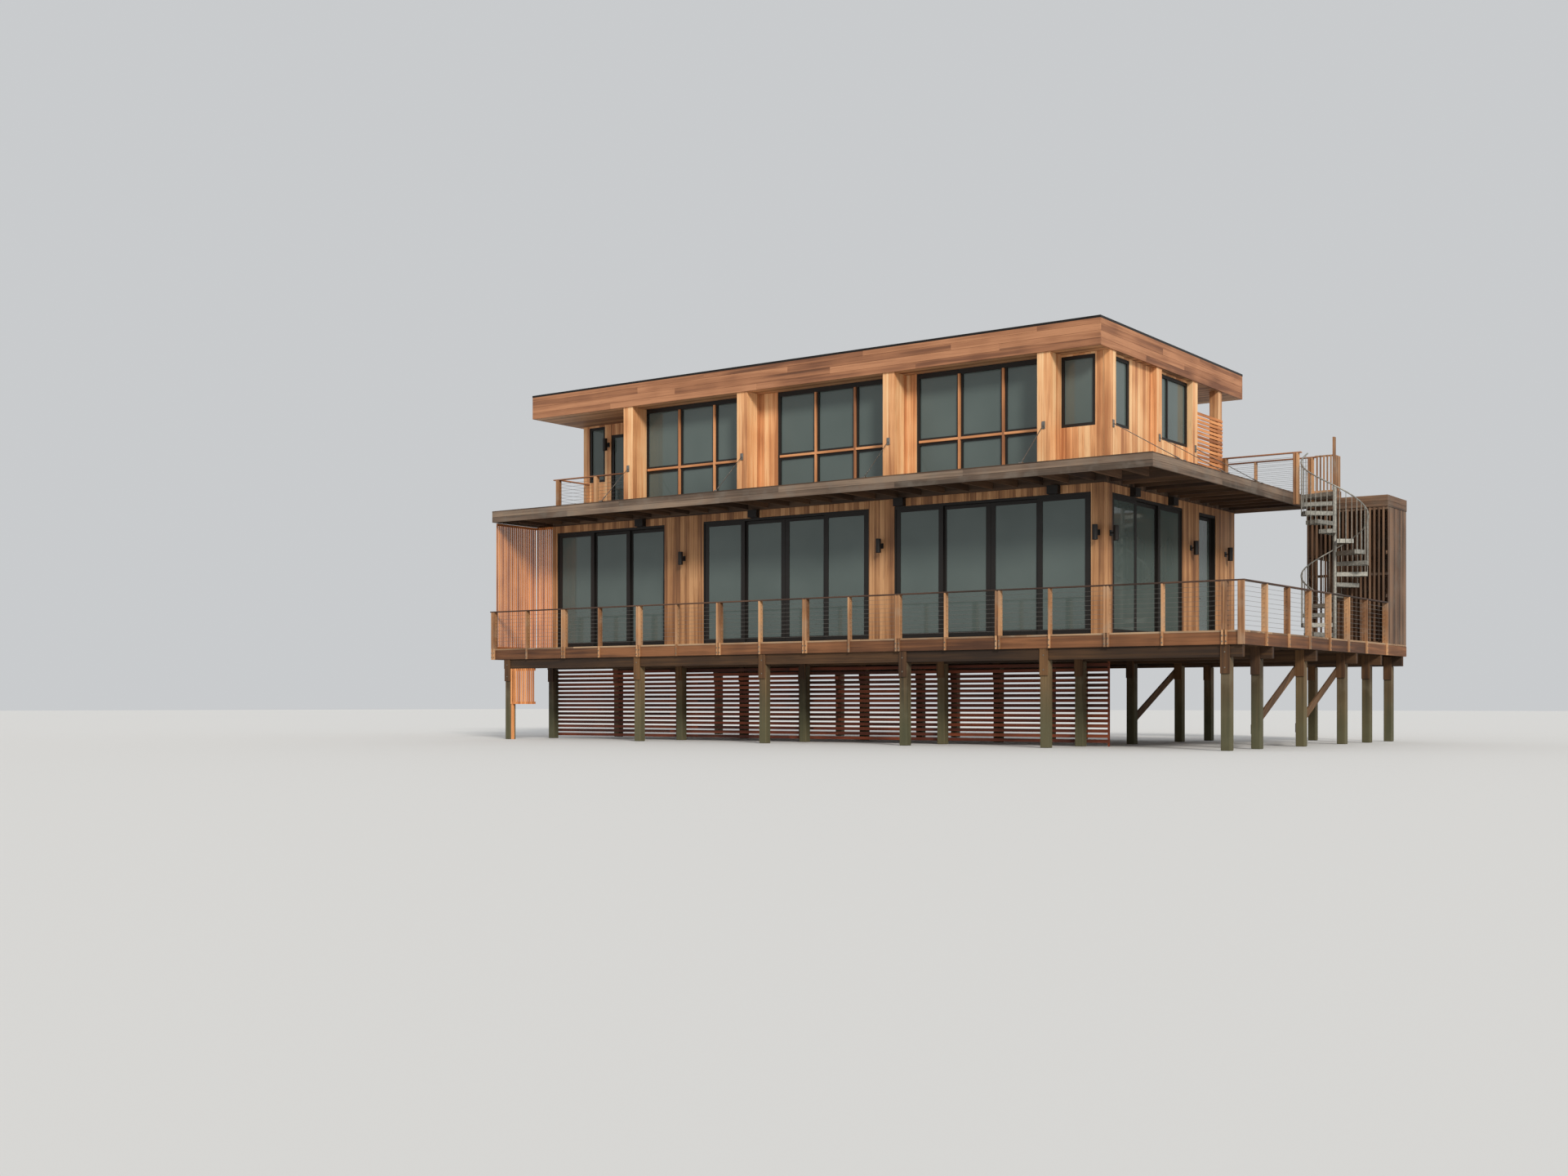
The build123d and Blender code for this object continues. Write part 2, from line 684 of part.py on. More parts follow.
rod_radius = 8
rod_bracket = 80
rod_bracket_reach = 30
rod_height = 6800
fin_front = wall_front - fin_reach
fin_face = wall_right + side_fin_reach
side_rod_places = [y + side_fin_width / 2 for y in side_fin_fronts[:3]]
with BuildPart() as tie_rods:
    for x in fin_centres:
        foot = Vector(x, canopy_front + rod_bracket, canopy_top + rod_bracket_reach / 2)
        head = Vector(x, fin_front - rod_bracket_reach / 2, rod_height)
        block(x - rod_bracket / 2, x + rod_bracket / 2, fin_front - rod_bracket_reach, fin_front,
              rod_height - rod_bracket, rod_height + rod_bracket)
        block(x - rod_bracket / 2, x + rod_bracket / 2, foot.Y - rod_bracket / 2,
              foot.Y + rod_bracket / 2, canopy_top, canopy_top + rod_bracket_reach)
        with BuildSketch(Plane(origin=foot, x_dir=(1, 0, 0), z_dir=head - foot)):
            RegularPolygon(rod_radius, 6)
        extrude(amount=(head - foot).length)
    for y in side_rod_places:
        foot = Vector(canopy_right - rod_bracket, y, canopy_top + rod_bracket_reach / 2)
        head = Vector(fin_face + rod_bracket_reach / 2, y, rod_height)
        block(fin_face, fin_face + rod_bracket_reach, y - rod_bracket / 2, y + rod_bracket / 2,
              rod_height - rod_bracket, rod_height + rod_bracket)
        block(foot.X - rod_bracket / 2, foot.X + rod_bracket / 2, y - rod_bracket / 2,
              y + rod_bracket / 2, canopy_top, canopy_top + rod_bracket_reach)
        with BuildSketch(Plane(origin=foot, x_dir=(0, 1, 0), z_dir=head - foot)):
            RegularPolygon(rod_radius, 6)
        extrude(amount=(head - foot).length)
save(tie_rods, "tie_rods")

# Upper storey: wall pieces between the window groups, deep fins, and the walls of the recesses
fin_lefts = [x - fin_width / 2 for x in fin_centres]
fin_rights = [x + fin_width / 2 for x in fin_centres]
group_rights = fin_lefts[1:]
group_lefts = [x - group_width for x in group_rights]
with BuildPart() as front_wall_upper:
    for left, right in zip([fin_lefts[0]] + group_rights, group_lefts + [wall_right]):
        block(left, right, wall_front, inner_front, canopy_top, roof_bottom)
    block(*casement_sides, wall_front, inner_front, casement_sill, window_head, mode=Mode.SUBTRACT)
save(front_wall_upper, "front_wall_upper")

with BuildPart() as front_fins:
    for left, right in zip(fin_lefts, fin_rights):
        block(left, right, fin_front, wall_front, canopy_top, roof_bottom)
save(front_fins, "front_fins")

with BuildPart() as side_fins:
    for front in side_fin_fronts[:3]:
        block(wall_right, fin_face, front, front + side_fin_width, canopy_top, roof_bottom)
    block(fin_face - terrace_post_width, fin_face, side_fin_fronts[3],
          side_fin_fronts[3] + side_fin_width, canopy_top, roof_bottom)
save(side_fins, "side_fins")

with BuildPart() as right_wall_upper:
    block(inner_right, wall_right, inner_front, terrace_front, canopy_top, roof_bottom)
    for y0, y1 in (narrow_window, wide_window):
        block(inner_right, wall_right, y0, y1, side_sill, window_head, mode=Mode.SUBTRACT)
save(right_wall_upper, "right_wall_upper")

with BuildPart() as recess_walls:
    block(wall_left, fin_lefts[0], recess_back, recess_back + wall_thickness, canopy_top, roof_bottom)
    block(fin_lefts[0], fin_lefts[0] + wall_thickness, inner_front, recess_back + wall_thickness,
          canopy_top, roof_bottom)
    block(*porch_window, recess_back, recess_back + wall_thickness, porch_window_sill, window_head,
          mode=Mode.SUBTRACT)
    block(*porch_door, recess_back, recess_back + wall_thickness, canopy_top, porch_door_head,
          mode=Mode.SUBTRACT)
    block(terrace_left, inner_right, terrace_front - wall_thickness, terrace_front,
          canopy_top, roof_bottom)
    block(terrace_left, terrace_left + wall_thickness, terrace_front, inner_back,
          canopy_top, roof_bottom)
    block(*terrace_door, terrace_front - wall_thickness, terrace_front, canopy_top, porch_door_head,
          mode=Mode.SUBTRACT)
save(recess_walls, "recess_walls")

# Slats on the outside of the terrace, from the third fin over the post at its corner
screen_pitch = screen_slat + screen_gap
screen_height = screen_slat_count * screen_pitch
screen_batten = 45
screen_start = terrace_front + seat_gap
screen_end = side_fin_fronts[3] + side_fin_width
with BuildPart() as terrace_screen:
    block(fin_face - screen_batten, fin_face, screen_start, screen_start + screen_batten,
          canopy_top, canopy_top + screen_height)
    with Locations([(fin_face + slat_thickness / 2, (screen_start + screen_end) / 2,
                     canopy_top + screen_height - screen_slat / 2 - i * screen_pitch)
                    for i in range(screen_slat_count)]):
        Box(slat_thickness, screen_end - screen_start, screen_slat)
save(terrace_screen, "terrace_screen")


# Window frames and their panes. Each window is a ring with the bars that split it.
def rectangle(start, end, low, high, mode=Mode.ADD):
    """One rectangle of a window's elevation."""
    with Locations(((start + end) / 2, (low + high) / 2)):
        Rectangle(end - start, high - low, mode=mode)


def cells(start, end, low, high, uprights=(), transom=None):
    """Clear openings of a window, between its outer bars, its uprights and its transom."""
    bar = group_mullion if transom else mullion
    head = head_bar if high == roof_bottom else frame_bar
    starts = [start + frame_bar, *[place + bar / 2 for place in uprights]]
    ends = [*[place - bar / 2 for place in uprights], end - frame_bar]
    bands = [(low + frame_bar, high - head)]
    if transom:
        bands = [(low + frame_bar, transom - transom_bar / 2), (transom + transom_bar / 2, high - head)]
    return [(*side, *band) for side in zip(starts, ends) for band in bands]


# Each window: its outer face as an offset of the plane it lies in, and its outline and bars
front_offset = -wall_front - upper_frame_setback
porch_offset = -recess_back - upper_frame_setback
terrace_offset = wall_thickness - terrace_front - upper_frame_setback
back_offset = upper_frame_setback + upper_frame_depth - wall_back
right_offset = wall_right - upper_frame_setback
left_offset = wall_left + upper_frame_setback + upper_frame_depth
windows = [(Plane.XZ.offset(front_offset), left, right, canopy_top, roof_bottom,
            (left + group_width / 3, left + 2 * group_width / 3), transom_height)
           for left, right in zip(group_lefts, group_rights)]
windows += [(Plane.XZ.offset(front_offset), *casement_sides, casement_sill, window_head),
            (Plane.XZ.offset(porch_offset), *porch_window, porch_window_sill, window_head),
            (Plane.XZ.offset(porch_offset), *porch_door, canopy_top, porch_door_head),
            (Plane.XZ.offset(terrace_offset), *terrace_door, canopy_top, porch_door_head),
            (Plane.YZ.offset(right_offset), *narrow_window, side_sill, window_head),
            (Plane.YZ.offset(right_offset), *wide_window, side_sill, window_head,
             (wide_window_mullion,))]
for plane, centres, limits in [
        (Plane.XZ.offset(back_offset), back_window_centres, (wall_right, terrace_left + wall_thickness)),
        (Plane.YZ.offset(left_offset), left_window_centres, (wall_back, wall_back))]:
    for centre in centres:
        for base, limit in zip((floor_top, canopy_top), limits):
            if centre + back_window_width / 2 < limit - wall_thickness:
                windows.append((plane, centre - back_window_width / 2, centre + back_window_width / 2,
                                base + back_window_sill, base + back_window_sill + back_window_height,
                                (centre,)))

with BuildPart() as window_frames:
    for plane, *outline in windows:
        with BuildSketch(plane):
            rectangle(*outline[:4])
            for cell in cells(*outline):
                rectangle(*cell, mode=Mode.SUBTRACT)
        extrude(amount=-upper_frame_depth)
save(window_frames, "window_frames")

with BuildPart() as window_glass:
    for plane, *outline in windows:
        with BuildSketch(plane.offset(-(upper_frame_depth - pane_thickness) / 2)):
            for start, end, low, high in cells(*outline):
                rectangle(start + pane_clearance, end - pane_clearance, low + pane_clearance,
                          high - pane_clearance)
        extrude(amount=-pane_thickness)
save(window_glass, "window_glass")

# Roof: a slab inside a fascia of four boards, with dark flashing on its edge
roof_fascia_thickness = 38
roof_top = roof_bottom + roof_depth
flashing_width = 70
roof_recess = 80
with BuildPart() as roof_fascia:
    block(roof_left, roof_right, roof_front, roof_back, roof_bottom, roof_top)
    block(roof_left + roof_fascia_thickness, roof_right - roof_fascia_thickness,
          roof_front + roof_fascia_thickness, roof_back - roof_fascia_thickness,
          roof_bottom, roof_top, mode=Mode.SUBTRACT)
save(roof_fascia, "roof_fascia")

with BuildPart() as roof_slab:
    block(roof_left + roof_fascia_thickness, roof_right - roof_fascia_thickness,
          roof_front + roof_fascia_thickness, roof_back - roof_fascia_thickness,
          roof_bottom, roof_top - roof_recess)
save(roof_slab, "roof_slab")

with BuildPart() as roof_flashing:
    block(roof_left, roof_right, roof_front, roof_back, roof_top, roof_top + flashing_rise)
    block(roof_left + flashing_width, roof_right - flashing_width, roof_front + flashing_width,
          roof_back - flashing_width, roof_top, roof_top + flashing_rise, mode=Mode.SUBTRACT)
save(roof_flashing, "roof_flashing")

# Upper rails: the balcony of the porch, and the catwalk from the terrace to the stair
upper_rail_top = canopy_top + upper_rail_height
upper_rail_bottom = upper_rail_top - cap_thickness
upper_space = upper_rail_bottom - canopy_top
upper_cables = [canopy_top + upper_space * (i + 1) / (cable_count + 1) for i in range(cable_count)]
upper_middle = canopy_top + upper_space / 2
balcony_inset = 40
balcony_y = wall_front + balcony_inset
balcony_cap_left = -9400
balcony_post_lefts = [-9293, -7965]
balcony_post_width = 90
balcony_post_depth = 130
balcony_end = fin_lefts[0] - seat_gap
return_x = balcony_post_lefts[0] + balcony_post_width / 2
return_back = recess_back - seat_gap
return_post = return_back - post_depth
with BuildPart() as balcony_railing:
    with Locations([(x + balcony_post_width / 2, balcony_y, upper_middle) for x in balcony_post_lefts]):
        Box(balcony_post_width, balcony_post_depth, upper_space)
    block(balcony_cap_left, balcony_end, balcony_y - cap_width / 2, balcony_y + cap_width / 2,
          upper_rail_bottom, upper_rail_top)
    with BuildSketch(Plane.YZ.offset(return_x)):
        with Locations([(balcony_y, height) for height in upper_cables]):
            RegularPolygon(cable_radius, 3)
    extrude(amount=balcony_end - return_x)
    block(return_x - cap_width / 2, return_x + cap_width / 2, balcony_y, return_back,
          upper_rail_bottom, upper_rail_top)
    block(return_x - post_board / 2, return_x + post_board / 2, return_post, return_back,
          canopy_top, upper_rail_bottom)
    with BuildSketch(Plane.XZ.offset(-balcony_y)):
        with Locations([(return_x, height) for height in upper_cables]):
            RegularPolygon(cable_radius, 3)
    extrude(amount=balcony_y - return_post)
save(balcony_railing, "balcony_railing")

# The end posts of the catwalk are lapped on the canopy's fascia
catwalk_near = 2755
catwalk_far = 3780
near_start = 6430
far_wall_gap = 20
far_start = terrace_left + wall_thickness + far_wall_gap
far_post = 6850
catwalk_cap_start = 20
catwalk_cap_end = 8350
end_post_face = canopy_right + double_width
with BuildPart() as catwalk_railing:
    for y, boards, doubles in [
            (catwalk_near, [near_start, near_start + post_board + post_gap], [near_start]),
            (catwalk_far, [far_start, far_post], [])]:
        with Locations([(x + post_board / 2, y, upper_middle) for x in boards]):
            Box(post_board, post_depth, upper_space)
        for x in doubles:
            block(x + post_board, x + post_board + post_gap, y - post_depth / 2 + spacer_inset,
                  y + post_depth / 2 - spacer_inset, canopy_top, upper_rail_bottom)
        for x in (canopy_right, canopy_right + post_board + post_gap):
            block(x, x + post_board, y - post_depth / 2, y + post_depth / 2,
                  fascia_bottom, upper_rail_bottom)
        block(canopy_right + post_board, canopy_right + post_board + post_gap,
              y - post_depth / 2 + spacer_inset, y + post_depth / 2 - spacer_inset,
              fascia_bottom, upper_rail_bottom)
        block(boards[0] - catwalk_cap_start, catwalk_cap_end, y - cap_width / 2, y + cap_width / 2,
              upper_rail_bottom, upper_rail_top)
        with BuildSketch(Plane.YZ.offset(boards[-1] + post_board / 2)):
            with Locations([(y, height) for height in upper_cables]):
                RegularPolygon(cable_radius, 3)
        extrude(amount=canopy_right - boards[-1] - post_board / 2)
    with BuildSketch(Plane.YZ.offset(far_start + post_board / 2)):
        with Locations([(catwalk_far, height) for height in upper_cables]):
            RegularPolygon(cable_radius, 3)
    extrude(amount=far_post - far_start)
save(catwalk_railing, "catwalk_railing")

# Wall lamps: a square plate and a tube that lights up and down
lamp_plate = 120
lamp_plate_thickness = 20
lamp_radius = 60
lamp_height = 320
lamp_arm = 60
lamp_arm_half = 20
lamp_z = 4515
porch_lamp_z = 7800
front_lamps = [(left + right) / 2 for left, right in
               ((left_opening[1], middle_opening[0]), (middle_opening[1], right_opening[0]),
                (right_opening[1], wall_right))]
side_lamps = [(inner_front + side_opening[0]) / 2, (side_opening[1] + side_door_opening[0]) / 2,
              (side_door_opening[1] + wall_back) / 2]
porch_lamp_x = (porch_window[1] + porch_door[0]) / 2
lamp_reach = lamp_plate_thickness + lamp_arm + lamp_radius
with BuildPart() as wall_lamps:
    for x, wall, z in [*[(x, wall_front, lamp_z) for x in front_lamps],
                       (porch_lamp_x, recess_back, porch_lamp_z)]:
        block(x - lamp_plate / 2, x + lamp_plate / 2, wall - lamp_plate_thickness, wall,
              z - lamp_plate / 2, z + lamp_plate / 2)
        block(x - lamp_arm_half, x + lamp_arm_half, wall - lamp_reach, wall - lamp_plate_thickness,
              z - lamp_arm_half, z + lamp_arm_half)
        round_bar(x, wall - lamp_reach, z - lamp_height / 2, z + lamp_height / 2, lamp_radius)
    for y in side_lamps:
        block(wall_right, wall_right + lamp_plate_thickness, y - lamp_plate / 2, y + lamp_plate / 2,
              lamp_z - lamp_plate / 2, lamp_z + lamp_plate / 2)
        block(wall_right + lamp_plate_thickness, wall_right + lamp_reach, y - lamp_arm_half,
              y + lamp_arm_half, lamp_z - lamp_arm_half, lamp_z + lamp_arm_half)
        round_bar(wall_right + lamp_reach, y, lamp_z - lamp_height / 2, lamp_z + lamp_height / 2,
                  lamp_radius)
save(wall_lamps, "wall_lamps")


# Spiral stair: pole, folded steel treads, landing, and a handrail on balusters
def stair_point(angle, radius, height=0):
    """Point on the stair at an angle from +X."""
    return (stair_x + radius * cos(radians(angle)), stair_y + radius * sin(radians(angle)), height)


riser = (canopy_top - deck_top) / riser_count
tread_count = riser_count - 1
pole_top = canopy_top + pole_rise
half_tread = step_angle / 2 - tread_gap_angle
landing_left = canopy_right + seat_gap
notch_right = end_post_face + seat_gap
notch_front = catwalk_far - post_depth / 2 - seat_gap
half_landing = (first_step_angle - step_angle / 2 - tread_gap_angle - landing_angle) / 2
tread_inner = (pole_radius + tread_clearance) / cos(radians(half_tread))
pan_inner = 3 * pole_radius
pan_inner_angle = 3
pan_outer = stair_radius - tread_plate
pan_outer_angle = 1
landing_inner = (pole_radius + tread_clearance) / cos(radians(half_landing))
with BuildPart() as spiral_stair:
    with Locations((stair_x, stair_y, (deck_top + pole_top) / 2)):
        Cylinder(pole_radius, pole_top - deck_top)
    with Locations((stair_x, stair_y, deck_top + base_plate / 2)):
        Cylinder(3 * pole_radius, base_plate)
    for k in range(1, tread_count + 1):
        centre = first_step_angle + (k - 1) * step_angle
        top = canopy_top - k * riser
        with BuildSketch(Plane.XY.offset(top - tread_lip)):
            with BuildLine():
                Polyline(stair_point(centre - half_tread, tread_inner)[:2],
                         stair_point(centre - half_tread, stair_radius)[:2],
                         stair_point(centre, stair_radius)[:2],
                         stair_point(centre + half_tread, stair_radius)[:2],
                         stair_point(centre + half_tread, tread_inner)[:2], close=True)
            make_face()
        extrude(amount=tread_lip)
        with BuildSketch(Plane.XY.offset(top - tread_lip)):
            with BuildLine():
                Polyline(stair_point(centre - half_tread + pan_inner_angle, pan_inner)[:2],
                         stair_point(centre - half_tread + pan_outer_angle, pan_outer)[:2],
                         stair_point(centre, pan_outer)[:2],
                         stair_point(centre + half_tread - pan_outer_angle, pan_outer)[:2],
                         stair_point(centre + half_tread - pan_inner_angle, pan_inner)[:2], close=True)
            make_face()
        extrude(amount=tread_lip - tread_plate, mode=Mode.SUBTRACT)
    with BuildSketch(Plane.XY.offset(canopy_top - tread_lip)):
        with BuildLine():
            Polyline(stair_point(landing_angle + 2 * half_landing, landing_inner)[:2],
                     stair_point(landing_angle, landing_inner)[:2],
                     (stair_point(landing_angle, stair_radius)[0], landing_back),
                     (notch_right, landing_back), (notch_right, notch_front),
                     (landing_left, notch_front), (landing_left, stair_y + landing_front), close=True)
        make_face()
    extrude(amount=tread_lip)
save(spiral_stair, "spiral_stair")

# One length of handrail, which climbs along the helix on the three balusters of one tread.
# It is drawn round the stair's axis, level with the tread, and set at each tread in turn.
rail_line = stair_radius + baluster / 2 + seat_gap
half_rail = step_angle / 2 - degrees(rail_joint / rail_line)
rail_points = [Vector(rail_line * cos(radians(turn)), rail_line * sin(radians(turn)),
                      stair_rail_height - turn / step_angle * riser)
               for turn in (-half_rail, 0, half_rail)]
with BuildPart() as rail_length:
    for start, end in zip(rail_points[:-1], rail_points[1:]):
        with BuildSketch(Plane(origin=start, z_dir=end - start)):
            RegularPolygon(rail_radius, rail_sides)
        extrude(amount=(end - start).length)
    for turn in (-step_angle / 3, 0, step_angle / 3):
        with Locations((rail_line * cos(radians(turn)), rail_line * sin(radians(turn)), -tread_lip)):
            Box(baluster, baluster, stair_rail_height + tread_lip - turn / step_angle * riser,
                align=(Align.CENTER, Align.CENTER, Align.MIN))

with BuildPart() as stair_railing:
    with Locations([Location((stair_x, stair_y, canopy_top - (k + 1) * riser),
                             (0, 0, first_step_angle + k * step_angle)) for k in range(tread_count)]):
        add(rail_length.part)
save(stair_railing, "stair_railing")

# Picket guard behind the landing, with a tall post at its corner and a short return
tall_post_left = 8722
tall_post_width = 45
tall_post_right = tall_post_left + tall_post_width
tall_post_depth = 115
tall_post_height = 1388
picket = 38
picket_thickness = 19
picket_gap = 45
guard_height = 970
kick_lap = 40
kick_height = 130
guard_top = canopy_top + guard_height
guard_front = landing_back + seat_gap
guard_back = guard_front + picket_thickness
post_back = guard_front + tall_post_depth
kick_bottom = canopy_top - kick_lap
kick_top = canopy_top + kick_height
guard_return = 400
picket_count = int((tall_post_left - end_post_face) / (picket + picket_gap))
return_count = int(guard_return / (picket + picket_gap))
return_left = tall_post_right - picket_thickness
with BuildPart() as picket_guard:
    block(tall_post_left, tall_post_right, guard_front, post_back, deck_top + tower_height,
          canopy_top + tall_post_height)
    block(end_post_face, tall_post_left, guard_front, guard_back, kick_bottom, kick_top)
    block(end_post_face, tall_post_left, guard_back, guard_back + picket_thickness,
          guard_top - picket, guard_top)
    with Locations([(end_post_face + picket_gap + picket / 2 + i * (picket + picket_gap),
                     (guard_front + guard_back) / 2, (kick_top + guard_top) / 2)
                    for i in range(picket_count)]):
        Box(picket, picket_thickness, guard_top - kick_top)
    block(return_left, tall_post_right, post_back, post_back + guard_return, kick_bottom, kick_top)
    block(return_left - picket_thickness, return_left, post_back, post_back + guard_return,
          guard_top - picket, guard_top)
    with Locations([((return_left + tall_post_right) / 2,
                     post_back + picket_gap + picket / 2 + i * (picket + picket_gap),
                     (kick_top + guard_top) / 2) for i in range(return_count)]):
        Box(picket_thickness, picket, guard_top - kick_top)
save(picket_guard, "picket_guard")

# Slatted tower on the deck behind the stair: slats in front, boards on its other sides
tower_right = rim_right
tower_top = deck_top + tower_height
band_bottom = tower_top - tower_band
tower_wall = 60
tower_slats_count = int((tower_right - tower_left - slat_width) / tower_slat_pitch) + 1
with BuildPart() as tower_slats:
    for z in (deck_top, (deck_top + band_bottom) / 2, band_bottom - slat_rail):
        block(tower_left, tower_right, tower_front + slat_thickness,
              tower_front + slat_thickness + tower_wall, z, z + slat_rail)
    with Locations([(tower_left + slat_width / 2 + i * tower_slat_pitch,
                     tower_front + slat_thickness / 2, (deck_top + band_bottom) / 2)
                    for i in range(tower_slats_count)]):
        Box(slat_width, slat_thickness, band_bottom - deck_top)
save(tower_slats, "tower_slats")

boards_front = tower_front + slat_thickness + tower_wall
with BuildPart() as tower_boards:
    block(tower_left, tower_right, boards_front, deck_back, deck_top, band_bottom)
    block(tower_left + tower_wall, tower_right - tower_wall, boards_front, deck_back - tower_wall,
          deck_top, band_bottom, mode=Mode.SUBTRACT)
    block(tower_left, tower_left + tower_wall, deck_back - tower_wall - tower_door_width,
          deck_back - tower_wall, deck_top, deck_top + tower_door_height, mode=Mode.SUBTRACT)
save(tower_boards, "tower_boards")

with BuildPart() as tower_cap:
    block(tower_left - tower_band_overhang, tower_right + tower_band_overhang,
          tower_front - tower_band_overhang, deck_back, band_bottom, tower_top)
save(tower_cap, "tower_cap")
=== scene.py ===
import math
import bpy
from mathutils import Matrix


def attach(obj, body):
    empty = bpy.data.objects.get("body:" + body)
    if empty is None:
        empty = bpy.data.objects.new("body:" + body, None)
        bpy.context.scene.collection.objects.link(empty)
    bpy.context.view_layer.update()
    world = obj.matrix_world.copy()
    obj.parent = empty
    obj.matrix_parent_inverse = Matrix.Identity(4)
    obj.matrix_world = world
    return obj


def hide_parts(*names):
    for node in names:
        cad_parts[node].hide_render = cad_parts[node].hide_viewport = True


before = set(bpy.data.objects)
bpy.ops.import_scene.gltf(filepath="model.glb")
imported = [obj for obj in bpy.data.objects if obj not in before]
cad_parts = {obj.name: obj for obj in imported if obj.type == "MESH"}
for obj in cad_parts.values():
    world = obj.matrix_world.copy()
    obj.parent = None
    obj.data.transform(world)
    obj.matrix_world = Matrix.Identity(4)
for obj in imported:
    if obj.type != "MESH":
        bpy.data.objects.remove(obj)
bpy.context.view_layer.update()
house = "house"


# Piles and their cleats: square treated posts that carry the whole house, with boards nailed
# to their heads. Sawn softwood, brown where it is dry and green near their feet.
class Socket:
    """One output of a shader node. Arithmetic on it in Python adds Math nodes."""

    def __init__(self, tree, link):
        self.tree = tree
        self.link = link

    def add(self, kind, settings, sockets, out=0):
        """A new node of a kind, with its settings and the values or links of its sockets."""
        node = self.tree.nodes.new(kind)
        for key, value in settings.items():
            if key == "stops":
                ramp = node.color_ramp.elements
                ramp.remove(ramp[1])
                ramp[0].position = value[0][0]
                ramp[0].color = (*value[0][1], 1)
                for place, colour in value[1:]:
                    ramp.new(place).color = (*colour, 1)
            else:
                setattr(node, key, value)
        for key, value in sockets.items():
            if isinstance(value, Socket):
                self.tree.links.new(value.link, node.inputs[key])
            else:
                node.inputs[key].default_value = value
        return Socket(self.tree, node.outputs[out])

    def feed(self, surface, name):
        """Let this value or colour drive a socket of the surface shader."""
        self.tree.links.new(self.link, surface.inputs[name])

    def maths(self, operation, first, second=0.0):
        return self.add("ShaderNodeMath", {"operation": operation}, {0: first, 1: second})

    def __add__(self, other):
        return self.maths("ADD", self, other)

    def __radd__(self, other):
        return self.maths("ADD", other, self)

    def __sub__(self, other):
        return self.maths("SUBTRACT", self, other)

    def __rsub__(self, other):
        return self.maths("SUBTRACT", other, self)

    def __mul__(self, other):
        return self.maths("MULTIPLY", self, other)

    def __rmul__(self, other):
        return self.maths("MULTIPLY", other, self)

    def vector_maths(self, operation, sockets, out="Vector"):
        return self.add("ShaderNodeVectorMath", {"operation": operation}, sockets, out)

    def along(self, direction):
        """How far this place lies along a direction."""
        return self.vector_maths("DOT_PRODUCT", {0: self, 1: direction}, "Value")

    def times(self, amount):
        """This vector made longer by an amount."""
        return self.vector_maths("SCALE", {0: self, "Scale": amount})

    def moved(self, by):
        """This vector with another one added to it."""
        return self.vector_maths("ADD", {0: self, 1: by})

    def noise(self, scale, detail, distortion=0.0):
        """A soft cloudy pattern over this place."""
        sockets = {"Vector": self, "Scale": scale, "Detail": detail, "Distortion": distortion}
        return self.add("ShaderNodeTexNoise", {}, sockets)

    def blended(self, first, second):
        """The colour that is first where this value is 0 and second where it is 1."""
        settings = {"data_type": "RGBA", "clamp_factor": True}
        return self.add("ShaderNodeMix", settings, {0: self, 6: first, 7: second}, 2)

    def ramp(self, low, high, start=0.0, end=1.0):
        """A smooth step from start to end while this value goes from low to high."""
        return self.add(
            "ShaderNodeMapRange",
            {"interpolation_type": "SMOOTHSTEP"},
            {"Value": self, "From Min": low, "From Max": high, "To Min": start, "To Max": end},
        )


def seen(red, green, blue):
    """A colour as it is seen, 0 to 255, turned into the linear one that a shader takes."""
    return tuple((part / 255) ** 2.2 for part in (red, green, blue))


def start_material(name):
    """A new material, its surface shader and the object's own coordinates."""
    material = bpy.data.materials.new(name)
    material.use_nodes = True
    tree = material.node_tree
    place = Socket(tree, tree.nodes.new("ShaderNodeTexCoord").outputs["Object"])
    return material, tree.nodes["Principled BSDF"], place


def along_the_grain(place, direction):
    """Coordinates for the figure of wood: fine across its grain and long drawn out along it."""
    figures_across, figures_along = 26.0, 0.8
    back = place.along(direction) * (figures_along - figures_across)
    squeeze = place.vector_maths("SCALE", {0: direction, "Scale": back})
    return place.times(figures_across).moved(squeeze)


def joint_lines(place, across, pitch):
    """The tone of each board of a row, and a value that is 1 in the joints between them."""
    count = place.along(across) * (1 / pitch)
    whole = count.maths("FLOOR", count)
    tone = place.add("ShaderNodeTexWhiteNoise", {"noise_dimensions": "1D"}, {"W": whole})
    middle = count - whole - 0.5
    from_middle = middle.maths("ABSOLUTE", middle)
    return tone, from_middle.ramp(0.46, 0.49)


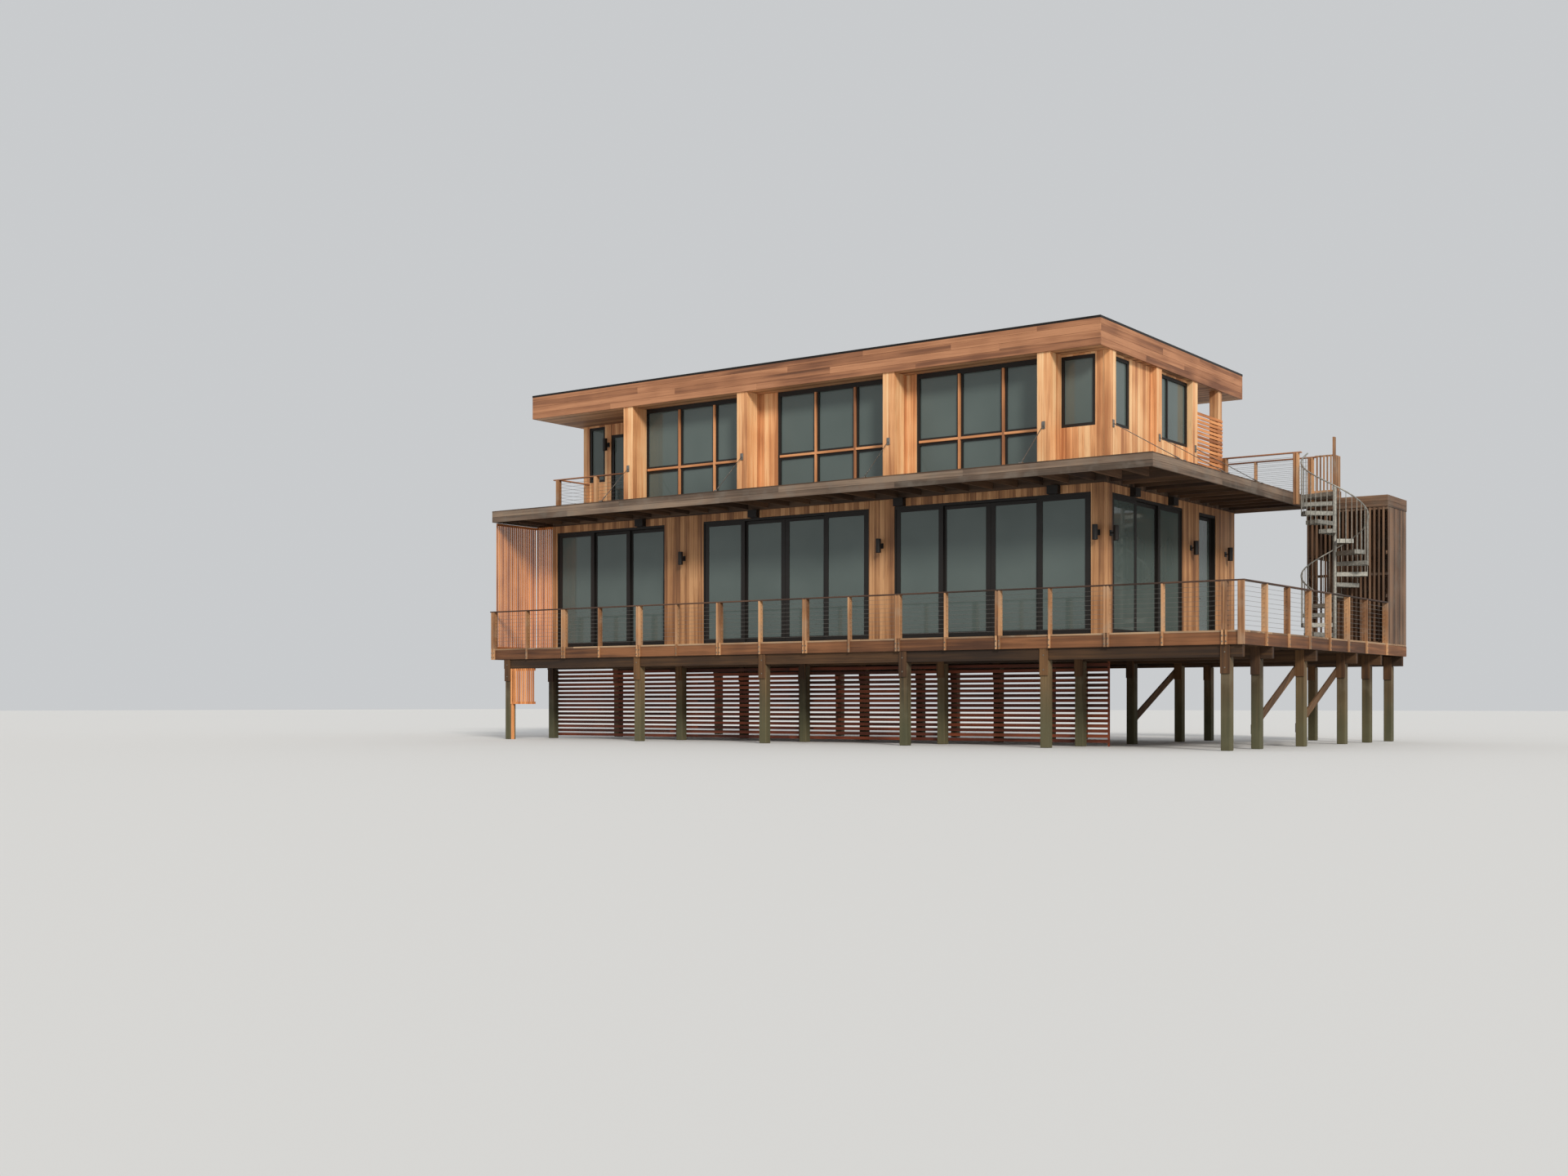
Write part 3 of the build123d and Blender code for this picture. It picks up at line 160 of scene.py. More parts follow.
def timber(name, pale, middle, deep, roughness, knots=0.0, greying=None, green=None, grain=None, lines=None):
    """Sawn wood. Laid boards carry their own grain and tone, and a piece of the frame gets
    one grain direction, and dark joint lines every so far across it if lines are given."""
    material, surface, place = start_material(name)
    if grain:
        direction, board = grain, 0.5
    else:
        direction = place.add("ShaderNodeAttribute", {"attribute_name": "grain"}, {}, "Vector")
        board = place.add("ShaderNodeAttribute", {"attribute_name": "board"}, {}, "Fac")
    if lines:
        board, groove = joint_lines(place, *lines)
    shift = place.add("ShaderNodeCombineXYZ", {}, {"X": board * 37.0, "Y": board * 91.0, "Z": board * 53.0})
    streak = along_the_grain(place, direction).moved(shift)
    figure = streak.noise(0.55, 4.0, 0.5)
    fibre = streak.noise(3.2, 3.0)
    cloud = place.noise(0.9, 2.0)
    tone = (figure - 0.5) * 1.1 + (board - 0.5) * 0.5 + (cloud - 0.5) * 0.7 + 0.5
    stops = [(0.2, deep), (0.5, middle), (0.8, pale)]
    colour = place.add("ShaderNodeValToRGB", {"stops": stops}, {"Fac": tone})
    dark = (*[part * 0.5 for part in deep], 1)
    colour = fibre.ramp(0.56, 0.78, 0.0, 0.45).blended(colour, dark)
    if knots:
        spot = place.add("ShaderNodeTexVoronoi", {}, {"Vector": streak, "Scale": 0.16}, "Distance")
        colour = spot.ramp(0.05, 0.15, knots, 0.0).blended(colour, dark)
    if greying:
        weather = place.noise(2.6, 4.0)
        colour = weather.ramp(0.46, 0.72, 0.0, 0.5).blended(colour, (*greying, 1))
    if green:
        damp_low, damp_high = 0.5, 2.0
        height = place.along((0, 0, 1)) + cloud * 0.6
        colour = height.ramp(damp_low, damp_high, 0.7, 0.0).blended(colour, (*green, 1))
    relief = figure * 0.5 + fibre * 0.5
    if lines:
        colour = groove.blended(colour, dark)
        relief = relief - groove * 2.0
    colour.feed(surface, "Base Color")
    (fibre * 0.24 + (roughness - 0.12)).feed(surface, "Roughness")
    bump = place.add("ShaderNodeBump", {}, {"Height": relief, "Strength": 0.4, "Distance": 0.003})
    bump.feed(surface, "Normal")
    return material


def hand_over(piece, name, material, stands_for=(), body=house):
    """A finished piece gets its name and material, its body, and what it replaces."""
    piece.name = name
    piece.data.materials.append(material)
    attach(piece, body)
    if stands_for:
        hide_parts(*stands_for)


def lay_boards(name, boards, ease, material, stands_for=(), body=house):
    """One joined piece of squared lengths of wood: x, y and z from and to, with eased edges.
    Each length gets a tone of its own, and its grain runs along its longest side."""
    bpy.ops.object.select_all(action="DESELECT")
    for count, (x0, x1, y0, y1, z0, z1) in enumerate(boards):
        bpy.ops.mesh.primitive_cube_add(
            size=1,
            location=((x0 + x1) / 2, (y0 + y1) / 2, (z0 + z1) / 2),
            scale=(x1 - x0, y1 - y0, z1 - z0),
        )
        if count == 0:
            piece = bpy.context.object
            bpy.ops.object.transform_apply(location=True, rotation=True, scale=True)
            bpy.ops.object.mode_set(mode="EDIT")
    bpy.ops.object.mode_set(mode="OBJECT")
    first_tone, golden_step = 0.3, 0.618034
    tones, grains = [], []
    for count, (x0, x1, y0, y1, z0, z1) in enumerate(boards):
        sides = (x1 - x0, y1 - y0, z1 - z0)
        tones += [(first_tone + count * golden_step) % 1.0] * 8
        grains += [1.0 if side == max(sides) else 0.0 for side in sides] * 8
    piece.data.attributes.new("board", "FLOAT", "POINT").data.foreach_set("value", tones)
    piece.data.attributes.new("grain", "FLOAT_VECTOR", "POINT").data.foreach_set("vector", grains)
    eased = piece.modifiers.new("eased edges", "BEVEL")
    eased.width = ease
    eased.segments = 1
    eased.limit_method = "NONE"
    bpy.ops.object.modifier_apply(modifier=eased.name)
    hand_over(piece, name, material, stands_for, body)


pile_side = 0.19
pile_top = 1.805
beam_top = 2.04
cleat_thickness = 0.03
cleat_bottom = pile_top - 0.32
pile_lefts = (-9.595, -5.245, -1.485, 2.295, 5.685, 9.545)
pile_fronts = (-5.295, -3.695, -1.095, 1.605, 3.415)
tower_pile_lefts = (7.7, 9.545)
tower_pile_front = 5.105
pile_wood = timber(
    "treated pile wood", seen(118, 97, 68), seen(93, 75, 52), seen(62, 50, 35), 0.86,
    greying=seen(108, 99, 80), green=seen(82, 84, 61),
)
cleat_wood = timber("treated board wood", seen(112, 81, 50), seen(88, 61, 37), seen(58, 40, 25), 0.82)
pile_spots = [(x, y) for y in pile_fronts for x in pile_lefts]
pile_spots += [(x, tower_pile_front) for x in tower_pile_lefts]
piles = [(x, x + pile_side, y, y + pile_side, 0, pile_top) for x, y in pile_spots]
lay_boards("pile_posts", piles, 0.012, pile_wood, ["piles"])
cleats = [(x, x + pile_side, y - cleat_thickness, y, cleat_bottom, beam_top) for x, y in pile_spots]
lay_boards("cleat_boards", cleats, 0.004, cleat_wood, ["pile_cleats"])


# Beams and braces: doubled planks bolted to the pile heads, and diagonal planks between
# piles under the right end. Each beam is two planks with a dark joint between.
def lengths(joints, gap):
    """Lengths of wood laid end to end from joint to joint, each one cut short by a gap."""
    return [(start, end - gap) for start, end in zip(joints[:-1], joints[1:])]


def dress(nodes, material):
    """Pieces that stay as the CAD has them get their material."""
    for node in nodes:
        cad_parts[node].data.materials.clear()
        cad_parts[node].data.materials.append(material)


butt_gap = 0.003
beam_plank = 0.055
beam_joint = 0.004
beam_overhang = 0.045
beam_left, beam_right = pile_lefts[0] - beam_overhang, 9.98
main_lengths = lengths((beam_left, -5.147, -1.387, 2.393, 5.783, beam_right + butt_gap), butt_gap)
tower_lengths = [(tower_pile_lefts[0] - beam_overhang, beam_right)]
# The beam planks are a dark stain, darkened further as painted shade under the deck.
beam_wood = timber("treated beam wood", seen(86, 60, 36), seen(64, 44, 25), seen(44, 30, 17), 0.82)
brace_wood = timber(
    "treated brace wood", seen(120, 90, 61), seen(91, 66, 44), seen(60, 44, 30), 0.84, grain=(0, 0.8, 0.6),
)
planks = []
for y in (*pile_fronts, tower_pile_front):
    for left, right in tower_lengths if y == tower_pile_front else main_lengths:
        for front in (y, y + beam_plank + beam_joint):
            planks.append((left, right, front, front + beam_plank, pile_top, beam_top))
lay_boards("beam_planks", planks, 0.004, beam_wood, ["deck_beams"])
dress(["pile_braces"], brace_wood)


# Lattice: thin boards nailed level behind the second row of piles, with gaps between, on
# upright battens. Reddish wood, painted darker overall as the shade under the deck, with
# random duller patches.
one_by = 0.019
two_by = 0.038
lattice_front = -3.505
lattice_left, lattice_right = -9.595, 6.385
lattice_slat, lattice_pitch, lattice_rows = 0.07, 0.108, 16
batten_front = lattice_front + one_by
# Painted shade: the slats are darkened overall for the dark shade under the deck behind them.
lattice_wood = timber(
    "lattice wood", seen(134, 68, 40), seen(102, 48, 28), seen(62, 28, 16), 0.8, greying=seen(90, 54, 38),
)
slats = [
    (x, x + two_by, batten_front, batten_front + two_by, 0, pile_top)
    for x in (*pile_lefts[:4], lattice_right - two_by)
]
for row in range(lattice_rows):
    top = pile_top - two_by - row * lattice_pitch
    second, third = row % 2, row % 3
    joints = (lattice_left, -5.6 + second * 0.9, -1.9 + third * 0.7, 2.4 - second * 1.1, lattice_right)
    for left, right in lengths(joints, butt_gap):
        slats.append((left, right, lattice_front, batten_front, top - lattice_slat, top))
lay_boards("lattice_slats", slats, 0.002, lattice_wood, ["under_deck_lattice"])


# Deck: joists on the beams, a rim plank round them and boards on top. The boards run along
# the front, and along the side at the right end, with open joints between.
deck_left, deck_right = -10.015, 9.995
deck_front, deck_back = -5.335, 5.395
deck_top = 2.319
walk_back = 3.85
wall_front, wall_right = -3.715, 6.385
board_width, board_pitch = 0.14, 0.145
board_low = deck_top - two_by
rim_thickness = 0.009
rim_low, rim_high = beam_top + butt_gap, board_low - 0.002
# The rim plank's colour is its own tone, darkened a little as painted shade.
rim_wood = timber("rim plank wood", seen(137, 91, 58), seen(109, 71, 44), seen(75, 47, 29), 0.74, knots=0.5)
frame_wood = timber(
    "deck joist wood", seen(104, 78, 54), seen(78, 58, 40), seen(52, 38, 26), 0.82, grain=(0.7071, 0.7071, 0),
)
deck_wood = timber(
    "deck board wood", seen(186, 156, 124), seen(158, 126, 96), seen(112, 86, 64), 0.78,
    greying=seen(150, 138, 122),
)
dress(["deck_frame"], frame_wood)
rim_left, rim_right = deck_left - rim_thickness, deck_right + rim_thickness
rim_front = deck_front - rim_thickness
planks = [
    (left, right, rim_front, deck_front, rim_low, rim_high)
    for left, right in lengths((rim_left, -6.347, -2.677, 1.003, 4.673, rim_right + butt_gap), butt_gap)
]
for front, back in lengths((deck_front, -1.587, 2.223, deck_back), butt_gap):
    planks.append((deck_right, rim_right, front, back, rim_low, rim_high))
for front, back in lengths((deck_front, -1.897, 1.803, 3.603), butt_gap):
    planks.append((rim_left, deck_left, front, back, rim_low, rim_high))
lay_boards("rim_planks", planks, 0.002, rim_wood)
boards = []
for row in range(12):
    front = deck_front + row * board_pitch
    back = min(front + board_width, wall_front)
    second, third = row % 2, row % 3
    joints = (-7.2 + third * 1.2, -2.6 - second * 1.2, 1.3 + third * 0.8, 5.4 - second * 0.8)
    for left, right in lengths((deck_left, *joints, deck_right), butt_gap):
        boards.append((left, right, front, back, board_low, deck_top))
for row in range(25):
    left = wall_right + row * board_pitch
    right = min(left + board_width, deck_right)
    for front, back in lengths((wall_front + 0.005, -0.4 + row % 3 * 0.8, walk_back), butt_gap):
        boards.append((left, right, front, back, board_low, deck_top))
boards.append((tower_pile_lefts[0], deck_right, walk_back, deck_back, board_low, deck_top))
lay_boards("deck_planks", boards, 0.003, deck_wood, ["deck_boards"])


# Deck rails: upright boards lapped over the rim, single and double in turn, a flat cap on
# them, and stainless cables strung through.
rail_top = 3.256
cap_thickness = 0.028
post_lap, post_reach = 0.049, 0.08
post_front, post_back = deck_front - post_lap, deck_front + post_reach
post_left, post_right = deck_right - post_reach, deck_right + post_lap
lap_top = deck_top + 0.006
post_wood = timber(
    "rail post wood", seen(200, 154, 112), seen(170, 124, 86), seen(118, 82, 55), 0.72, knots=0.3,
    greying=seen(160, 138, 116),
)
cap_wood = timber("rail cap wood", seen(96, 70, 54), seen(74, 52, 40), seen(50, 36, 28), 0.66)
first_front_post, front_post_pitch = -10.02, 1.2254
first_side_post, side_post_pitch, last_side_post = -4.125, 1.27, 3.75
front_places = [first_front_post + count * front_post_pitch for count in range(17)]
double_places = front_places[0::2]
front_lefts = front_places + [x + 2 * two_by for x in double_places]
side_fronts = [first_side_post + count * side_post_pitch for count in range(6)] + [last_side_post]
posts = []
for x in front_lefts:
    posts.append((x, x + two_by, post_front, post_back, deck_top, rail_top))
    posts.append((x, x + two_by, post_front, deck_front, beam_top, lap_top))
for x in double_places:
    posts.append((x + two_by, x + 2 * two_by, post_front + 0.014, post_back - 0.025, deck_top, rail_top))
lay_boards("front_rail_posts", posts, 0.003, post_wood, ["front_railing"])
posts = [(post_left, post_right, post_front, deck_front, beam_top, rail_top)]
for y in side_fronts:
    posts.append((post_left, post_right, y, y + two_by, deck_top, rail_top))
    posts.append((deck_right, post_right, y, y + two_by, beam_top, lap_top))
lay_boards("right_rail_posts", posts, 0.003, post_wood, ["right_railing"])
cap_levels = (rail_top, rail_top + cap_thickness)
cap_width = 0.1
cap_front, cap_right = -5.385, 10.045
cap_back = cap_front + cap_width
caps = [
    (left, right, cap_front, cap_back, *cap_levels)
    for left, right in lengths((-10.055, -6.3, -1.4, 3.5, 8.4, 10.058), butt_gap)
]
for front, back in lengths((cap_back + 0.001, -0.297, 3.791), butt_gap):
    caps.append((cap_right - cap_width, cap_right, front, back, *cap_levels))
lay_boards("rail_caps", caps, 0.005, cap_wood)


def metal(name, colour, roughness, metallic, mottle=0.12, scale=9.0, streaks=0.0):
    """A coated or bare metal, a little uneven in tone and sheen."""
    material, surface, place = start_material(name)
    cloud = place.noise(scale, 4.0)
    darker = (*[part * (1 - mottle) for part in colour], 1)
    lighter = (*[min(1.0, part * (1 + mottle)) for part in colour], 1)
    tone = cloud.ramp(0.35, 0.65).blended(darker, lighter)
    if streaks:
        run = place.add("ShaderNodeMapping", {}, {"Vector": place, "Scale": (22.0, 22.0, 1.5)})
        stained = (*[part * 0.45 for part in colour], 1)
        tone = run.noise(1.0, 3.0).ramp(0.5, 0.75, 0.0, streaks).blended(tone, stained)
    tone.feed(surface, "Base Color")
    (cloud * 0.2 + (roughness - 0.1)).feed(surface, "Roughness")
    surface.inputs["Metallic"].default_value = metallic
    return material


def round_rods(name, rods, sides, material, stands_for=(), body=house):
    """One joined piece of straight round rods: each from one point to another, with a radius."""
    bpy.ops.object.select_all(action="DESELECT")
    for count, (start, end, radius) in enumerate(rods):
        run = [b - a for a, b in zip(start, end)]
        length = math.dist(start, end)
        bpy.ops.mesh.primitive_cylinder_add(
            vertices=sides,
            radius=radius,
            depth=length,
            location=[(a + b) / 2 for a, b in zip(start, end)],
            rotation=(0, math.acos(run[2] / length), math.atan2(run[1], run[0])),
        )
        if count == 0:
            piece = bpy.context.object
            bpy.ops.object.transform_apply(location=True, rotation=True, scale=True)
            bpy.ops.object.mode_set(mode="EDIT")
    bpy.ops.object.mode_set(mode="OBJECT")
    bpy.ops.object.shade_smooth_by_angle(angle=math.radians(50))
    hand_over(piece, name, material, stands_for, body)


def cable_levels(floor, top, rows=9):
    """The heights of the cables, spread evenly between the floor and the rail's cap."""
    return [floor + (top - floor) * row / (rows + 1) for row in range(1, rows + 1)]


# Painted shade: this steel is darker than bare stainless, standing in for the shade on the thin rods and
# cables.
steel = metal("stainless steel", seen(136, 132, 126), 0.36, 1.0)
cable_radius = 0.003
stop_radius, stop_length = 0.009, 0.012
cable_front, cable_right = deck_front + 0.01, deck_right - 0.01
cables = []
for z in cable_levels(deck_top, rail_top):
    cables.append(((-10.0, cable_front, z), (cable_right - 0.005, cable_front, z), cable_radius))
    cables.append(((cable_right, cable_front - 0.015, z), (cable_right, 3.77, z), cable_radius))
    for x in (-10.026, 9.7):
        cables.append(((x, cable_front, z), (x + stop_length, cable_front, z), stop_radius))
round_rods("deck_rail_cables", cables, 6, steel)


# Rails of the upper storey: a balcony across the porch and the two sides of the walk that
# leads from the terrace to the stair. Posts, caps and cables as on the deck below.
def doubled_post(x, y, low, high):
    """Two boards on edge with a narrower one between them."""
    back, inset = y + board_width, 0.025
    sides = [(left, left + two_by, y, back, low, high) for left in (x, x + 2 * two_by)]
    return [*sides, (x + two_by, x + 2 * two_by, y + inset, back - inset, low, high)]


upper_floor_top = 5.87
upper_rail_top = 6.782
walk_low = 5.58
walk_right = 8.17
porch_back = -2.495
balcony_post, balcony_front = 0.09, -3.74
balcony_back = balcony_front + 0.13
wall_post_left = -9.267
inner_rail, outer_rail = 2.685, 3.71
# Faces that would lie in one plane are kept a hair apart.
hair = 0.0003
upper_cap_wood = timber("upper cap wood", seen(196, 138, 98), seen(164, 112, 78), seen(116, 76, 54), 0.7)
rail_levels = (upper_floor_top, upper_rail_top)
posts = [(x, x + balcony_post, balcony_front, balcony_back, *rail_levels) for x in (-9.293, -7.965)]
wall_post_right = wall_post_left + two_by
posts.append((wall_post_left, wall_post_right, porch_back - board_width, porch_back - hair, *rail_levels))
lay_boards("balcony_posts", posts, 0.004, post_wood, ["balcony_railing"])
posts = doubled_post(walk_right, inner_rail, walk_low, upper_rail_top)
posts += doubled_post(walk_right, outer_rail, walk_low, upper_rail_top)
posts += doubled_post(6.43, inner_rail, *rail_levels)
for x in (3.985, 6.85):
    posts.append((x, x + two_by, outer_rail, outer_rail + board_width, *rail_levels))
lay_boards("walk_posts", posts, 0.003, post_wood, ["catwalk_railing"])
cap_levels = (upper_rail_top, upper_rail_top + cap_thickness)
cap_front, cap_left = balcony_front + 0.015, -9.298
caps = [
    (-9.4, -6.475 - hair, cap_front, cap_front + cap_width, *cap_levels),
    (cap_left, cap_left + cap_width, cap_front + 0.101, porch_back - hair, *cap_levels),
]
for left, front in ((6.41, inner_rail + 0.02), (3.965, outer_rail + 0.02)):
    caps.append((left, 8.35, front, front + cap_width, *cap_levels))
lay_boards("upper_rail_caps", caps, 0.005, upper_cap_wood)
balcony_corner = (-9.248, -3.675)
inner_line, outer_line = inner_rail + 0.07, outer_rail + 0.07
cable_runs = (
    (balcony_corner, (-6.476, -3.675)), (balcony_corner, (-9.248, -2.6)),
    ((6.52, inner_line), (8.18, inner_line)), ((4.0, outer_line), (8.18, outer_line)),
)
cables = []
for z in cable_levels(upper_floor_top, upper_rail_top):
    for start, end in cable_runs:
        cables.append(((*start, z), (*end, z), cable_radius))
round_rods("upper_rail_cables", cables, 6, steel)


# Lower walls: upright cedar boards nailed to every wall and cut round the doors and windows,
# with short ones above the doors. Browner than upstairs as painted shade, for the shade of the
# walk above the lower storey.
def upright_boards(start, end, low, high, holes=(), width=board_width):
    """Upright boards from start to end and from low to high, cut round holes in the wall."""
    narrowest, shortest, board_gap = 0.012, 0.02, 0.005
    marks = [start + count * width for count in range(1, int((end - start) / width) + 1)]
    edges = {start, end, *marks, *(edge for hole in holes for edge in hole[:2] if start < edge < end)}
    edges = sorted(edges)
    boards = []
    for left, right in zip(edges[:-1], edges[1:]):
        gap = board_gap if right in marks else 0.0
        levels = [low]
        for hole in sorted(holes, key=lambda hole: hole[2]):
            if hole[0] < (left + right) / 2 < hole[1]:
                levels += hole[2:]
        levels.append(high)
        for bottom, top in zip(levels[0::2], levels[1::2]):
            if right - left > narrowest and top - bottom > shortest:
                boards.append((left, right - gap, bottom, top))
    return boards


def facing_front(front, back, boards):
    """Boards of a wall that runs from left to right, given its front and back."""
    return [(start, end, front, back, low, high) for start, end, low, high in boards]


def facing_side(left, right, boards):
    """Boards of a wall that runs from front to back, given its left and right."""
    return [(left, right, start, end, low, high) for start, end, low, high in boards]


wall_left, wall_back = -9.415, 3.605
cladding = 0.012
outer_left, outer_right = wall_left - cladding, wall_right + cladding
outer_front, outer_back = wall_front - cladding, wall_back + cladding
floor_top = 2.345
lower_boards_top = 5.568
door_head = 5.39
window_side = 1.5
back_middles, left_middles = (-7.6, -3.9, -0.2, 3.5), (-1.2, 1.8)
lower_sill = 3.245
# Painted shade: this cedar is a darker, shaded copy of the upper wall cedar.
lower_cedar = timber(
    "lower wall cedar", seen(204, 154, 109), seen(174, 125, 84), seen(128, 88, 59), 0.66, knots=0.4,
)


def square_windows(middles, low):
    """Holes for a row of square windows, given their middles and their lower edge."""
    half, high = window_side / 2, low + window_side
    return [(middle - half, middle + half, low, high) for middle in middles]


front_door_sides = ((-9.245, -5.595), (-4.355, 0.495), (1.185, 6.075))
side_door_sides = ((-3.355, 0.395), (1.375, 2.405))
front_doors = [(left, right, deck_top, door_head) for left, right in front_door_sides]
side_doors = [(front, back, deck_top, door_head) for front, back in side_door_sides]
uprights = upright_boards(outer_left, wall_right, deck_top, lower_boards_top, front_doors)
boards = facing_front(outer_front, wall_front, uprights)
uprights = upright_boards(outer_front, wall_back, deck_top, lower_boards_top, side_doors)
boards += facing_side(wall_right, outer_right, uprights)
lay_boards("lower_wall_boards", boards, 0.0015, lower_cedar)
windows = square_windows(back_middles, lower_sill)
uprights = upright_boards(outer_left, wall_right, floor_top, lower_boards_top, windows)
boards = facing_front(wall_back, outer_back, uprights)
windows = square_windows(left_middles, lower_sill)
uprights = upright_boards(wall_front, wall_back, floor_top, lower_boards_top, windows)
boards += facing_side(outer_left, wall_left, uprights)
lay_boards("lower_back_boards", boards, 0.0015, lower_cedar)


# Ground floor: boards from wall to wall indoors. Outdoors its edge is covered by level planks
# on the back and left walls, and by a sill board in each doorway. Nailed cedar.
edge_low, edge_high = rim_low, floor_top - 0.002
sill_low = 2.32
sill_gap = 0.002
floor_boards = timber(
    "floor boards", seen(168, 134, 100), seen(138, 106, 78), seen(100, 74, 54), 0.55,
    grain=(1, 0, 0), lines=((0, 1, 0), 0.13),
)
boards = [
    (left, right, wall_back, outer_back, edge_low, edge_high)
    for left, right in lengths((outer_left, -5.497, -1.597, 2.403, wall_right + butt_gap), butt_gap)
]
for front, back in lengths((wall_front, -0.097, wall_back + butt_gap), butt_gap):
    boards.append((outer_left, wall_left, front, back, edge_low, edge_high))
for left, right in front_door_sides:
    boards.append((left + sill_gap, right - sill_gap, outer_front, wall_front, sill_low, edge_high))
for front, back in side_door_sides:
    boards.append((wall_right, outer_right, front + sill_gap, back - sill_gap, sill_low, edge_high))
lay_boards("floor_edge_planks", boards, 0.0015, lower_cedar)
dress(["ground_floor"], floor_boards)


# Upper walls: upright cedar boards nailed to every wall, round the windows and the deep
# corners of the porch and the terrace. Paler and more honey coloured than downstairs as painted
# sunlight.
roof_low = 8.344
upper_door_head = 8.05
upper_sill = 6.77
upper_levels = (upper_floor_top, roof_low)
window_levels = (6.82, 8.3)
porch_corner, terrace_front, terrace_side = -6.487, 0.955, 3.965
casement = (5.375, 6.175, 6.79, 8.3)
narrow_window = (-3.475, -2.495, *window_levels)
wide_window = (-1.085, 0.695, *window_levels)
porch_window = (-9.215, -8.665, 6.83, 8.3)
porch_door = (-8.435, -7.435, upper_floor_top, upper_door_head)
terrace_door = (4.3, 5.3, upper_floor_top, upper_door_head)
# Painted sunlight: this cedar is a lighter, sunlit copy of the lower wall cedar.
cedar = timber("wall cedar", seen(246, 200, 148), seen(226, 164, 112), seen(178, 118, 76), 0.6, knots=0.4)
lining = timber(
    "wall lining", seen(150, 128, 106), seen(124, 104, 86), seen(92, 76, 62), 0.8,
    grain=(0, 0, 1), lines=((0.7071, 0.7071, 0), 0.1),
)
boards = []
for start, end in ((-2.62, -2.085), (1.505, 1.785), (5.375, wall_right)):
    uprights = upright_boards(start, end, *upper_levels, [casement])
    boards += facing_front(outer_front, wall_front, uprights)
for start, end in ((-3.475, -1.345), (-1.085, 0.695)):
    uprights = upright_boards(start, end, *upper_levels, [narrow_window, wide_window])
    boards += facing_side(wall_right, outer_right, uprights)
uprights = upright_boards(outer_left, porch_corner, *upper_levels, [porch_window, porch_door])
boards += facing_front(porch_back - cladding, porch_back, uprights)
uprights = upright_boards(wall_front, porch_back - cladding, *upper_levels)
boards += facing_side(porch_corner, porch_corner + cladding, uprights)
uprights = upright_boards(terrace_side, wall_right, *upper_levels, [terrace_door])
boards += facing_front(terrace_front, terrace_front + cladding, uprights)
uprights = upright_boards(terrace_front + cladding, wall_back, *upper_levels)
boards += facing_side(terrace_side, terrace_side + cladding, uprights)
lay_boards("upper_wall_boards", boards, 0.0015, cedar)
windows = square_windows(back_middles[:3], upper_sill)
uprights = upright_boards(outer_left, terrace_side, *upper_levels, windows)
boards = facing_front(wall_back, outer_back, uprights)
windows = square_windows(left_middles, upper_sill)
uprights = upright_boards(porch_back, wall_back, *upper_levels, windows)
boards += facing_side(outer_left, wall_left, uprights)
lay_boards("upper_back_boards", boards, 0.0015, cedar)
walls = [
    "front_piers", "right_piers", "door_headers", "back_wall", "left_wall", "front_wall_upper",
    "right_wall_upper", "recess_walls",
]
dress(walls, lining)


# Fins: deep upright boxes beside the window groups that carry the roof edge, four in front
# and three shallow ones at the side, cased in upright cedar, and a post at the terrace corner.
fin_middles = (-6.335, -2.76, 1.365, 5.235)
fin_front = -4.245
fin_boards_deep, fin_board_pitch = 4, 0.1325
side_fin_fronts = (-3.735, -1.345, 0.695)
side_fin_right, side_fin_depth = 6.515, 0.26
casing = 0.128
casing_gap = 0.002
boards = []
for x in fin_middles:
    left, right = x - board_width - cladding, x + board_width + cladding
    boards.append((left, x - casing_gap, fin_front - cladding, fin_front, *upper_levels))
    boards.append((x + casing_gap, right, fin_front - cladding, fin_front, *upper_levels))
    for count in range(fin_boards_deep):
        front = fin_front + count * fin_board_pitch
        boards.append((left, left + cladding, front, front + casing, *upper_levels))
        boards.append((right - cladding, right, front, front + casing, *upper_levels))
for y in side_fin_fronts:
    right, back = side_fin_right + cladding, y + side_fin_depth
    boards.append((wall_right, right, y - cladding, y, *upper_levels))
    boards.append((wall_right, right, back, back + cladding, *upper_levels))
    boards.append((side_fin_right, right, y, y + casing, *upper_levels))
    boards.append((side_fin_right, right, back - casing, back, *upper_levels))
lay_boards("fin_boards", boards, 0.002, cedar)
post_cedar = timber(
    "post cedar", seen(236, 192, 146), seen(212, 160, 114), seen(168, 118, 80), 0.64,
    grain=(0, 0, 1), lines=((0.7071, 0.7071, 0), 0.1),
)
dress(["front_fins", "side_fins"], post_cedar)


# Slat screens: upright slats at the left end of the deck, a skirt of the same under it, and
# level slats round the terrace. Thin oiled cedar nailed on rails.
slat_width, slat_pitch = 0.045, 0.07
screen_top = 5.57
screen_front, screen_back = -5.195, -3.74
screen_rail, screen_rail_height = 0.025, 0.06
skirt_left, skirt_front, skirt_low = -9.4047, -5.295, 0.9
skirt_length, skirt_post = 0.84, 0.06
back_slats_left = -9.945
last_slat, corner_post = (-9.455, -9.418), (-9.9705, -9.93)
slat_cedar = timber("slat cedar", seen(236, 162, 102), seen(206, 132, 78), seen(152, 92, 53), 0.66)
side_slat_starts = [screen_front + count * slat_pitch for count in range(21)]
back_slat_starts = [back_slats_left + count * slat_pitch for count in range(7)]
skirt_slat_starts = [skirt_left + count * slat_pitch for count in range(12)]
screen_levels, skirt_levels = (deck_top, screen_top), (skirt_low, pile_top)
slat_front, skirt_back = screen_back - one_by, skirt_front + one_by
slats = [(deck_left, deck_left + one_by, y, y + slat_width, *screen_levels) for y in side_slat_starts]
slats += [(x, x + slat_width, slat_front, screen_back, *screen_levels) for x in back_slat_starts]
slats += [(x, x + slat_width, skirt_front, skirt_back, *skirt_levels) for x in skirt_slat_starts]
rail_left = deck_left + one_by
rail_right = rail_left + screen_rail
